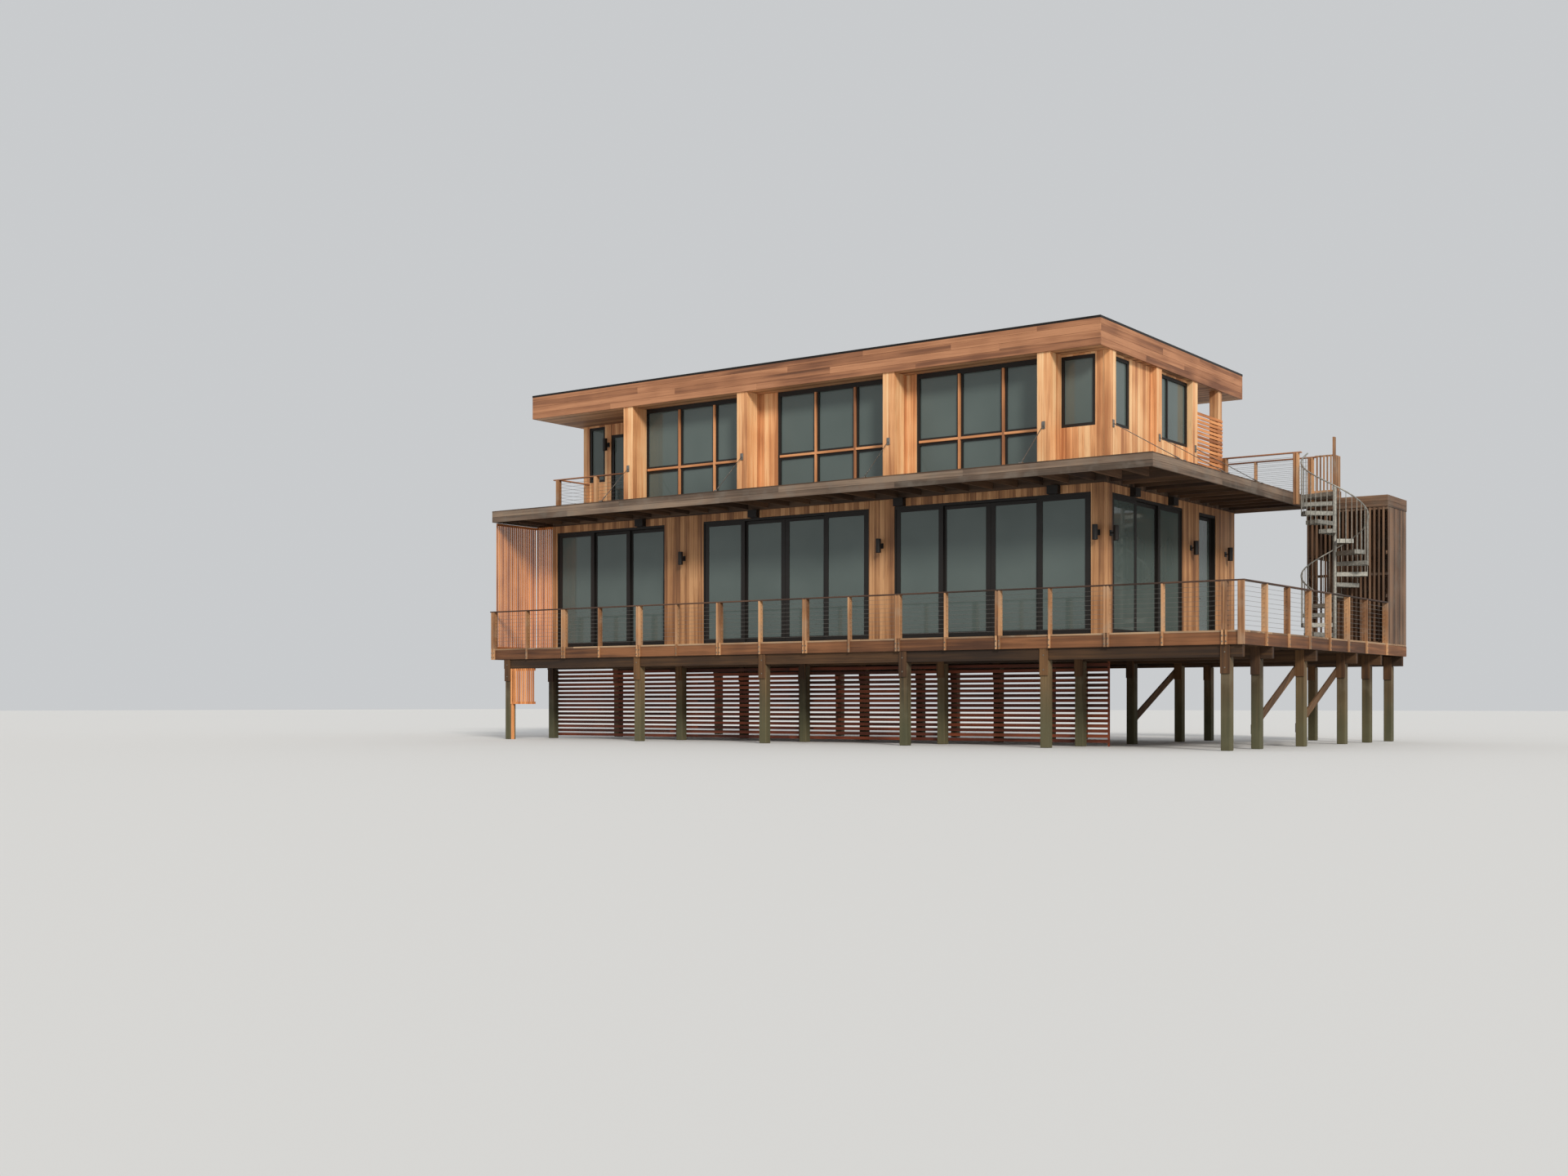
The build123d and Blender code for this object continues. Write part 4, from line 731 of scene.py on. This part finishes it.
for low in (deck_top, screen_top - screen_rail_height):
    high = low + screen_rail_height
    slats.append((rail_left, rail_right, screen_front, wall_front, low, high))
    slats.append((rail_right + hair, wall_left, screen_back, wall_front, low, high))
for low in (skirt_low, pile_top - screen_rail_height):
    high = low + screen_rail_height
    slats.append((skirt_left, skirt_left + skirt_length, skirt_back, skirt_back + screen_rail, low, high))
slats.append((skirt_left, skirt_left + skirt_post, skirt_back, skirt_back + skirt_post, 0, skirt_low))
slats.append((*last_slat, slat_front, screen_back, *screen_levels))
post_low, post_high = deck_top + 0.061, screen_top - 0.061
slats.append((*corner_post, screen_back + 0.0005, wall_front - 0.001, post_low, post_high))
lay_boards("left_slats", slats, 0.0015, slat_cedar, ["left_slat_screens"])
terrace_slat, terrace_pitch = 0.064, 0.09
terrace_top, terrace_back = 7.67, 2.485
slat_front, slat_right = terrace_front + hair, side_fin_right + one_by
terrace_post_left = side_fin_right - slat_width
slats = []
for count in range(20):
    top = terrace_top - count * terrace_pitch
    slats.append((side_fin_right, slat_right, slat_front, terrace_back, top - terrace_slat, top))
post_levels = (upper_floor_top, terrace_top)
slats.append((terrace_post_left, side_fin_right, slat_front, slat_front + slat_width, *post_levels))
lay_boards("terrace_slats", slats, 0.002, slat_cedar, ["terrace_screen"])


# Walk round the upper storey: fascia planks, joists hung between them and the wall, and
# boards on top. Grey where the rain has washed the cedar.
walk_front = -5.345
walk_top = 5.845
walk_plank, plank_gap = 0.131, 0.003
fine_gap = 0.002
joist_low, joist_pitch = 5.61, 0.61
walk_wood = timber(
    "grey fascia wood", seen(136, 116, 98), seen(108, 90, 76), seen(74, 62, 52), 0.78, knots=0.5,
    greying=seen(116, 108, 98),
)
joist_wood = timber("joist wood", seen(112, 84, 62), seen(86, 64, 46), seen(58, 42, 32), 0.8)
walk_boards = timber(
    "walk boards", seen(112, 88, 68), seen(88, 68, 52), seen(60, 46, 36), 0.8,
    grain=(1, 0, 0), lines=((0, 1, 0), 0.145),
)
inner_front, inner_back = walk_front + two_by, walk_back - two_by
inner_right = walk_right - two_by
boards = []
for row, shift in enumerate((0.0, 1.7)):
    low = walk_low + row * (walk_plank + plank_gap)
    high = low + walk_plank
    for joints, front, back in (
        ((deck_left, -7.4 + shift, -2.6 + shift, 2.2 + shift, walk_right), walk_front, inner_front),
        ((deck_left, -5.6 + shift, -1.0 + shift, 4.0 + shift, walk_right), inner_back, walk_back),
    ):
        for left, right in lengths(joints, fine_gap):
            boards.append((left, right, front, back, low, high))
    for left, right in ((deck_left, deck_left + two_by), (inner_right, walk_right)):
        for front, back in lengths((inner_front, -1.698 + shift, inner_back + fine_gap), fine_gap):
            boards.append((left, right, front, back, low, high))
lay_boards("walk_fascia", boards, 0.003, walk_wood, ["canopy_frame"])
boards = []
for count in range(29):
    x = deck_left + (count + 0.5) * joist_pitch
    boards.append((x - two_by / 2, x + two_by / 2, inner_front, wall_front, joist_low, walk_top))
for count in range(12):
    y = wall_front + (count + 0.5) * joist_pitch
    boards.append((wall_right, inner_right, y - two_by / 2, y + two_by / 2, joist_low, walk_top))
lay_boards("walk_joists", boards, 0.003, joist_wood)
dress(["upper_floor"], walk_boards)


# Roof edge: four level planks of cedar with butt joints, a thin dark metal flashing on top,
# a boarded soffit under the flat roof, and overlapping sheets of membrane on it.
roof_left, roof_right, roof_front, roof_back = -9.595, 6.565, -4.295, 3.695
roof_top = 8.957
fascia_plank, fascia_pitch = 0.1475, 0.15
fascia_shifts = (0.0, 2.1, 0.9, 3.0)
fascia_cedar = timber(
    "roof fascia cedar", seen(184, 129, 93), seen(158, 107, 75), seen(117, 76, 53), 0.68, knots=0.7,
)
inner_front, inner_back = roof_front + two_by, roof_back - two_by
boards = []
for row, shift in enumerate(fascia_shifts):
    low = roof_low + row * fascia_pitch
    top = low + (fascia_pitch if row == len(fascia_shifts) - 1 else fascia_plank)
    joints = (roof_left, -6.9 + shift, -2.3 + shift, 2.1 + shift, roof_right)
    for front in (roof_front, inner_back):
        for left, right in lengths(joints, fine_gap):
            boards.append((left, right, front, front + two_by, low, top))
    for left in (roof_left, roof_right - two_by):
        for front, back in lengths((inner_front, -1.998 + shift, inner_back + fine_gap), fine_gap):
            boards.append((left, left + two_by, front, back, low, top))
lay_boards("roof_edge_planks", boards, 0.002, fascia_cedar, ["roof_fascia"])
sheet = 0.003
lip_levels = (roof_top - 0.051, roof_top)
flashing = metal("dark flashing", seen(40, 36, 34), 0.45, 0.6)
lip = [
    (roof_left - sheet, roof_right + sheet, front, front + sheet, *lip_levels)
    for front in (roof_front - sheet, roof_back)
]
lip += [(left, left + sheet, roof_front, roof_back, *lip_levels) for left in (roof_left - sheet, roof_right)]
lay_boards("flashing_lip", lip, 0.0008, flashing)
dress(["roof_flashing"], flashing)
soffit_cedar = timber(
    "soffit cedar", seen(206, 160, 118), seen(176, 132, 94), seen(132, 94, 66), 0.7,
    grain=(1, 0, 0), lines=((0, 1, 0), 0.14),
)
dress(["roof_slab"], soffit_cedar)
membrane_low, membrane_thickness = 8.8642, 0.004
membrane_width, membrane_pitch = 1.03, 0.9893
membrane = metal("roof membrane", seen(122, 120, 114), 0.85, 0.0, 0.07, 2.0, 0.1)
strips = []
for row in range(8):
    front = inner_front + row * membrane_pitch
    back = min(front + membrane_width, inner_back)
    low = membrane_low + row % 2 * sheet
    strips.append((roof_left + two_by, roof_right - two_by, front, back, low, low + membrane_thickness))
lay_boards("roof_membrane", strips, 0.0012, membrane)


# Windows and door leaves: dark bronze frames with tinted glass, which stay as the CAD has
# them. On the window groups cedar covers are fixed over the uprights and the level bars.
group_lefts = (-6.21, -2.085, 1.785)
group_width = 3.31
cover_half = 0.028
cover_front, cover_back = -3.75, -3.705
cover_levels = (5.94, 8.234)
bar_levels = (6.8 - cover_half, 6.8 + cover_half)
light_edges = (0.07, group_width / 3, 2 * group_width / 3, 3.24)
leaves = (
    "left_door_centre", "left_door_right", "middle_door_left", "middle_door_right",
    "right_door_left", "right_door_right", "side_slider", "side_door",
)
bronze = metal("dark bronze frame", seen(26, 22, 19), 0.6, 0.0)
cover_cedar = timber("cover cedar", seen(230, 164, 113), seen(202, 137, 90), seen(150, 99, 66), 0.64)
covers = []
for left in group_lefts:
    for edge in light_edges[1:3]:
        x = left + edge
        covers.append((x - cover_half, x + cover_half, cover_front, cover_back, *cover_levels))
    for start, end in zip(light_edges[:-1], light_edges[1:]):
        bar_left = left + start + (cover_half if start != light_edges[0] else 0)
        bar_right = left + end - (cover_half if end != light_edges[-1] else 0)
        covers.append((bar_left, bar_right, cover_front, cover_back, *bar_levels))
lay_boards("window_covers", covers, 0.003, cover_cedar)
dress(["door_tracks", "door_jambs", "fixed_panels", "window_frames"], bronze)
dress([leaf + "_leaf" for leaf in leaves], bronze)
glazing, surface, place = start_material("tinted glass")
ripple = place.noise(0.7, 2.0)
ripple.blended((0.092, 0.124, 0.117, 1), (0.122, 0.158, 0.148, 1)).feed(surface, "Base Color")
ripple.ramp(0.2, 0.8, 0.03, 0.06).feed(surface, "Roughness")
ripple.ramp(0.2, 0.8, 0.82, 0.9).feed(surface, "Alpha")
wave = place.add("ShaderNodeBump", {}, {"Height": ripple, "Strength": 0.06, "Distance": 0.02})
wave.feed(surface, "Normal")
surface.inputs["IOR"].default_value = 1.55
dress(["fixed_glass", "window_glass", *(leaf + "_glass" for leaf in leaves)], glazing)


# Steel under and over the walk: black boxes at the wall head that carry it, and stainless
# rods from plates on the fins down to plates near its edge.
rod_low, rod_high = 5.885, 6.8
rod_radius, sleeve_radius = 0.008, 0.014
plate_half, fin_plate = 0.04, 0.03
front_anchor, right_anchor = walk_front + 0.08, walk_right - 0.08
front_sleeve = ((-5.2, 5.945), (-5.13, 6.009))
right_sleeve = ((8.0, 5.938), (7.91, 5.991))
fin_plate_levels = (rod_high - 2 * plate_half, rod_high + 2 * plate_half)
walk_plate_levels = (upper_floor_top, upper_floor_top + 0.03)
black = metal("black metal", seen(32, 29, 27), 0.55, 0.2)
dress(["outriggers"], black)
rods, plates = [], []
for x in fin_middles:
    left, right = x - plate_half, x + plate_half
    rods.append(((x, front_anchor, rod_low), (x, fin_front - 0.025, rod_high), rod_radius))
    rods.append(((x, *front_sleeve[0]), (x, *front_sleeve[1]), sleeve_radius))
    plates.append((left, right, fin_front - fin_plate, fin_front, *fin_plate_levels))
    plates.append((left, right, front_anchor - plate_half, front_anchor + plate_half, *walk_plate_levels))
for y in side_fin_fronts:
    middle = y + side_fin_depth / 2
    front, back = middle - plate_half, middle + plate_half
    (low_x, low_z), (high_x, high_z) = right_sleeve
    rods.append(((right_anchor, middle, rod_low), (side_fin_right + 0.025, middle, rod_high), rod_radius))
    rods.append(((low_x, middle, low_z), (high_x, middle, high_z), sleeve_radius))
    plates.append((side_fin_right, side_fin_right + fin_plate, front, back, *fin_plate_levels))
    plates.append((right_anchor - plate_half, right_anchor + plate_half, front, back, *walk_plate_levels))
round_rods("walk_tie_rods", rods, 12, steel, ["tie_rods"])
lay_boards("tie_rod_plates", plates, 0.003, steel)


# Bolts: hexagon heads on round washers, where the rail posts are bolted through the rim and
# the beams and cleats are bolted to the piles. Dull zinc.
def bolt_heads(name, spots, normal):
    """Hexagon heads, each on a round washer, that stand out of a face along a normal."""
    washer_radius, head_radius = 0.017, 0.011
    washer_depth, head_depth = 0.003, 0.011
    heads = []
    for spot in spots:
        middle = [a + b * washer_depth for a, b in zip(spot, normal)]
        end = [a + b * head_depth for a, b in zip(spot, normal)]
        heads.append((spot, middle, washer_radius))
        heads.append((middle, end, head_radius))
    round_rods(name, heads, 6, bolt_zinc)


rim_bolts = (2.1, 2.21)
pile_bolts = (1.6, 1.9)
bolt_zinc = metal("bolt zinc", seen(128, 120, 108), 0.55, 0.5, 0.3, 40.0)
spots = [(x + two_by / 2, post_front, z) for x in front_lefts for z in rim_bolts]
spots += [(x + pile_side / 2, pile_fronts[0] - cleat_thickness, z) for x in pile_lefts for z in pile_bolts]
bolt_heads("front_bolts", spots, (0, -1, 0))
spots = [(post_right, y + two_by / 2, z) for y in side_fronts for z in rim_bolts]
bolt_heads("side_bolts", spots, (1, 0, 0))


# Door hardware: flush pulls let into the stiles of the sliding leaves, and a plate with a
# round lever on the hinged door. Black coated metal, screwed on.
pull_low, pull_high = 3.24, 3.46
pull_depth = 0.003
slider_face, slider_pull_middle = 6.31, -0.906
inner_track, outer_track = -3.588, -3.643
plate_left, plate_low, lever_plate = 6.295, 3.22, 0.004
lever_y, lever_z = 1.472, 3.38
lever_right, lever_end = 6.34, 1.6


def pull_rim(middle):
    """The four sides of a flush pull: along the leaf from and to, and its levels."""
    outer, inner, bar = 0.02, 0.012, 0.008
    return [
        (middle - outer, middle - inner, pull_low, pull_high),
        (middle + inner, middle + outer, pull_low, pull_high),
        (middle - inner, middle + inner, pull_low, pull_low + bar),
        (middle - inner, middle + inner, pull_high - bar, pull_high),
    ]


for leaf, x, y in (
    ("left_door_centre", -6.866, outer_track), ("left_door_right", -5.6925, inner_track),
    ("middle_door_left", -1.9905, outer_track), ("middle_door_right", -1.8695, outer_track),
    ("right_door_left", 3.5695, outer_track), ("right_door_right", 3.6905, outer_track),
):
    rim = facing_front(y, y + pull_depth, pull_rim(x))
    lay_boards(leaf + "_pull", rim, 0.0008, black, (), leaf)
rim = facing_side(slider_face, slider_face + pull_depth, pull_rim(slider_pull_middle))
lay_boards("side_slider_pull", rim, 0.0008, black, (), "side_slider")
plate = [(plate_left, plate_left + lever_plate, lever_y - 0.02, lever_y + 0.02, plate_low, pull_high)]
lay_boards("side_door_plate", plate, 0.001, black, (), "side_door")
lever = [
    ((plate_left + 0.002, lever_y, lever_z), (lever_right + 0.005, lever_y, lever_z), 0.009),
    ((lever_right, lever_y - 0.007, lever_z), (lever_right, lever_end, lever_z), 0.008),
]
round_rods("side_door_lever", lever, 16, black, (), "side_door")


# Wall lamps: a square plate, a short arm and a round tube that is open at both ends and
# lights the wall up and down. Black coated metal, screwed to the wall boards.
tube_radius, tube_length, tube_wall = 0.06, 0.32, 0.004
tube_out = 0.128
core_radius, core_length = 0.055, 0.12
arm_radius, arm_length, arm_out = 0.014, 0.07, 0.042
plate_side, plate_thickness = 0.12, 0.012
lower_lamps, porch_lamp = 4.515, 7.8
lamp_spots = [(x, outer_front, lower_lamps, 0) for x in (-4.975, 0.84, 6.23)]
lamp_spots.append((-8.55, porch_back - cladding, porch_lamp, 0))
lamp_spots += [(outer_right, y, lower_lamps, 90) for y in (-3.445, 0.885, 3.005)]
bpy.ops.object.select_all(action="DESELECT")
bpy.ops.mesh.primitive_cylinder_add(
    vertices=32, radius=tube_radius, depth=tube_length, end_fill_type="NOTHING", location=(0, -tube_out, 0),
)
pattern = bpy.context.object
wall = pattern.modifiers.new("tube wall", "SOLIDIFY")
wall.thickness = tube_wall
wall.offset = -1
bpy.ops.object.modifier_apply(modifier=wall.name)
bpy.ops.object.transform_apply(location=True)
bpy.ops.object.mode_set(mode="EDIT")
bpy.ops.mesh.primitive_cylinder_add(
    vertices=32, radius=core_radius, depth=core_length, location=(0, -tube_out, 0),
)
bpy.ops.mesh.primitive_cylinder_add(
    vertices=16, radius=arm_radius, depth=arm_length, location=(0, -arm_out, 0), rotation=(math.pi / 2, 0, 0),
)
bpy.ops.mesh.primitive_cube_add(
    size=1, location=(0, -plate_thickness / 2, 0), scale=(plate_side, plate_thickness, plate_side),
)
bpy.ops.object.mode_set(mode="OBJECT")
lamps = []
for x, y, z, turn in lamp_spots:
    lamp = pattern.copy()
    lamp.data = pattern.data.copy()
    bpy.context.collection.objects.link(lamp)
    lamp.rotation_euler = (0, 0, math.radians(turn))
    lamp.location = (x, y, z)
    lamps.append(lamp)
bpy.data.objects.remove(pattern)
bpy.ops.object.select_all(action="DESELECT")
for lamp in lamps:
    lamp.select_set(True)
bpy.context.view_layer.objects.active = lamps[0]
bpy.ops.object.transform_apply(location=True, rotation=True)
bpy.ops.object.join()
bpy.ops.object.shade_smooth_by_angle(angle=math.radians(40))
hand_over(lamps[0], "wall_lamp_tubes", black, ["wall_lamps"])


# Spiral stair: galvanised steel. Folded pan treads on a round pole, with a handrail bent to
# the helix and three balusters to a tread. The zinc is dull, with streaks from the rain.
stair_x, stair_y = 9.021, 3.087
stair_radius = 0.7483
treads, tread_turn, first_turn = 14, 32, 179
riser = (upper_floor_top - deck_top) / (treads + 1)
rail_height = 1.08
pipe_radius, baluster_radius, baluster_foot = 0.019, 0.008, 0.095
zinc = metal("galvanised steel", seen(152, 150, 142), 0.5, 0.55, 0.2, 24.0, 0.35)
dress(["spiral_stair"], zinc)
balusters = []
for tread in range(treads):
    for third in (-1, 0, 1):
        angle = math.radians(first_turn + tread * tread_turn + third * tread_turn / 3)
        x, y = stair_x + stair_radius * math.cos(angle), stair_y + stair_radius * math.sin(angle)
        base = upper_floor_top - (tread + 1) * riser
        top = base + rail_height - third / 3 * riser
        balusters.append(((x, y, base - baluster_foot), (x, y, top), baluster_radius))
round_rods("stair_balusters", balusters, 10, zinc)
bpy.ops.object.select_all(action="DESELECT")
bpy.ops.mesh.primitive_circle_add(
    vertices=14, radius=pipe_radius, location=(stair_radius, 0, 0), rotation=(math.pi / 2, 0, 0),
)
handrail = bpy.context.object
bpy.ops.object.transform_apply(location=True, rotation=True)
climb = handrail.modifiers.new("helix", "SCREW")
climb.axis = "Z"
climb.angle = math.radians(treads * tread_turn)
climb.screw_offset = -treads * riser
climb.steps = treads * 12
climb.use_merge_vertices = False
climb.use_normal_calculate = True
bpy.ops.object.modifier_apply(modifier=climb.name)
bpy.ops.object.mode_set(mode="EDIT")
bpy.ops.mesh.select_all(action="SELECT")
bpy.ops.mesh.fill_holes(sides=14)
bpy.ops.mesh.normals_make_consistent(inside=False)
bpy.ops.object.mode_set(mode="OBJECT")
handrail.rotation_euler = (0, 0, math.radians(first_turn - tread_turn / 2))
handrail.location = (stair_x, stair_y, upper_floor_top - riser + rail_height + riser / 2)
bpy.ops.object.transform_apply(location=True, rotation=True)
bpy.ops.object.shade_smooth_by_angle(angle=math.radians(60))
hand_over(handrail, "stair_handrail", zinc, ["stair_railing"])
cap_radius, cap_flatness, cap_skirt = 0.052, 0.6, 0.035
cap_height, edge_height = 0.1, 0.102
cap_middle = (stair_x, stair_y, upper_floor_top + cap_height)
cap_edge = (stair_x, stair_y, upper_floor_top + edge_height)
bpy.ops.object.select_all(action="DESELECT")
bpy.ops.mesh.primitive_uv_sphere_add(segments=24, ring_count=12, radius=cap_radius, location=cap_middle)
pole_cap = bpy.context.object
bpy.ops.object.transform_apply(location=True)
bpy.ops.object.mode_set(mode="EDIT")
bpy.ops.mesh.select_all(action="SELECT")
bpy.ops.transform.resize(value=(1, 1, cap_flatness), center_override=cap_middle)
bpy.ops.mesh.bisect(plane_co=cap_edge, plane_no=(0, 0, 1), clear_inner=True)
bpy.ops.mesh.extrude_region_move(TRANSFORM_OT_translate={"value": (0, 0, -cap_skirt)})
bpy.ops.mesh.edge_face_add()
bpy.ops.mesh.select_all(action="SELECT")
bpy.ops.mesh.normals_make_consistent(inside=False)
bpy.ops.object.mode_set(mode="OBJECT")
bpy.ops.object.shade_smooth_by_angle(angle=math.radians(40))
hand_over(pole_cap, "stair_pole_cap", zinc)


# Guard behind the landing: upright pickets between a kick board and a top rail, along two
# sides, with a tall post at the corner. Sawn boards nailed together, just going grey.
guard_left, guard_front = 8.284, 3.8453
guard_post_left, guard_right = 8.722, 8.767
guard_post_back, guard_back = 3.9603, 4.3603
kick_levels = (5.83, 6.0)
guard_top = 6.84
tall_post_levels = (5.8, 7.258)
top_rail_levels = (guard_top - two_by, guard_top)
picket_levels = (kick_levels[1], guard_top)
first_picket, picket_pitch = 0.045, 0.083
guard_wood = timber(
    "guard wood", seen(190, 148, 112), seen(158, 118, 86), seen(112, 80, 56), 0.74,
    greying=seen(150, 136, 120),
)
picket_back, picket_left = guard_front + one_by, guard_right - one_by
boards = [
    (guard_post_left, guard_right, guard_front, guard_post_back, *tall_post_levels),
    (guard_left, guard_post_left, guard_front, picket_back, *kick_levels),
    (guard_left, guard_post_left, picket_back, picket_back + one_by, *top_rail_levels),
    (picket_left, guard_right, guard_post_back, guard_back, *kick_levels),
    (picket_left - one_by, picket_left, guard_post_back, guard_back, *top_rail_levels),
]
for count in range(5):
    x = guard_left + first_picket + count * picket_pitch
    boards.append((x, x + two_by, guard_front, picket_back, *picket_levels))
for count in range(4):
    y = guard_post_back + first_picket + count * picket_pitch
    boards.append((picket_left, guard_right, y, y + two_by, *picket_levels))
lay_boards("guard_pickets", boards, 0.002, guard_wood, ["picket_guard"])


# Tower behind the stair: upright slats in front, upright boards on its other sides, and a
# band of planks round its flat top. Cedar that has gone grey and brown.
tower_left, tower_front = 8.095, 3.885
tower_top, tower_cap_top = 5.529, 5.799
tower_slat_pitch = 0.105
tower_board = 0.022
tower_rail, side_rail = 0.06, 0.08
side_front = tower_front + side_rail
doorway = (4.535, 5.335, deck_top, 4.419)
clear, thin = 0.001, 0.0005
tower_cedar = timber(
    "tower cedar", seen(128, 99, 77), seen(100, 75, 57), seen(66, 49, 37), 0.74, knots=0.3,
    greying=seen(100, 87, 75),
)
tower_levels = (deck_top, tower_top)
slat_back = tower_front + one_by
boards = []
for count in range(18):
    x = tower_left + count * tower_slat_pitch
    boards.append((x, x + slat_width, tower_front, slat_back, *tower_levels))
for low in (deck_top, (deck_top + tower_top) / 2, tower_top - tower_rail):
    boards.append((tower_left, deck_right, slat_back, slat_back + tower_rail, low, low + tower_rail))
lay_boards("tower_front_slats", boards, 0.002, tower_cedar, ["tower_slats"])
indoor_left, indoor_right = tower_left + tower_board, deck_right - tower_board
indoor_back = deck_back - tower_board
uprights = upright_boards(side_front, deck_back, *tower_levels)
boards = facing_side(indoor_right, deck_right, uprights)
uprights = upright_boards(side_front, deck_back, *tower_levels, [doorway])
boards += facing_side(tower_left, indoor_left, uprights)
uprights = upright_boards(indoor_left + clear, indoor_right - clear, *tower_levels)
boards += facing_front(indoor_back, deck_back, uprights)
rail_back = indoor_back - clear
back_rail_left, back_rail_right = indoor_left + two_by + clear, indoor_right - two_by - clear
for low in (deck_top, 3.4, 4.42, tower_top - side_rail):
    high = low + side_rail
    left_rail_back = doorway[0] if low < doorway[3] else rail_back
    boards.append((indoor_right - two_by, indoor_right - thin, side_front, rail_back, low, high))
    boards.append((indoor_left + thin, indoor_left + two_by, side_front, left_rail_back, low, high))
    boards.append((back_rail_left, back_rail_right, indoor_back - two_by, indoor_back - thin, low, high))
lay_boards("tower_side_boards", boards, 0.0015, tower_cedar, ["tower_boards"])
overhang = 0.015
band_left, band_right, band_front = tower_left - overhang, deck_right + overhang, tower_front - overhang
top_left, top_right = band_left + two_by, band_right - two_by
top_front, top_back = band_front + two_by, deck_back - two_by
top_board, top_pitch, top_low = 0.139, 0.1426, 5.74
boards = []
for levels in ((tower_top, 5.662), (5.665, tower_cap_top)):
    boards.append((band_left, band_right, band_front, top_front, *levels))
    boards.append((band_left, band_right, top_back, deck_back, *levels))
    boards.append((band_left, top_left, top_front, top_back, *levels))
    boards.append((top_right, band_right, top_front, top_back, *levels))
for count in range(13):
    x = top_left + count * top_pitch
    boards.append((x, x + top_board, top_front, top_back, top_low, top_low + two_by))
lay_boards("tower_top_planks", boards, 0.003, tower_cedar, ["tower_cap"])


# Photo room: a pale floor, a pale surround that lights softly from all sides, and one low,
# soft sun from the front right. The camera stands where the photo was taken.
eye = (22.046, -37.058, 0.90)
eye_turn = 35.7
sun_tilt, sun_turn = 62, 50
bpy.ops.object.select_all(action="DESELECT")
bpy.ops.mesh.primitive_plane_add(size=400, location=(0, 0, 0))
floor = bpy.context.object
floor.name = "studio_floor"
paper = bpy.data.materials.new("pale paper")
paper.use_nodes = True
surface = paper.node_tree.nodes["Principled BSDF"]
surface.inputs["Base Color"].default_value = (0.72, 0.72, 0.71, 1)
surface.inputs["Roughness"].default_value = 0.95
floor.data.materials.append(paper)
world = bpy.data.worlds.new("soft room")
bpy.context.scene.world = world
world.use_nodes = True
surround = world.node_tree.nodes["Background"]
surround.inputs["Color"].default_value = (0.86, 0.88, 0.90, 1)
surround.inputs["Strength"].default_value = 0.68
bpy.ops.object.light_add(type="SUN", rotation=(math.radians(sun_tilt), 0, math.radians(sun_turn)))
sun = bpy.context.object
sun.data.energy = 2.4
sun.data.angle = math.radians(12)
sun.data.color = (1.0, 0.94, 0.86)
bpy.ops.object.camera_add(location=eye, rotation=(math.radians(90), 0, math.radians(eye_turn)))
camera = bpy.context.object
camera.data.lens = 39.56
camera.data.sensor_width = 36
camera.data.shift_y = 0.074
bpy.context.scene.camera = camera
bpy.context.scene.view_settings.view_transform = "Standard"
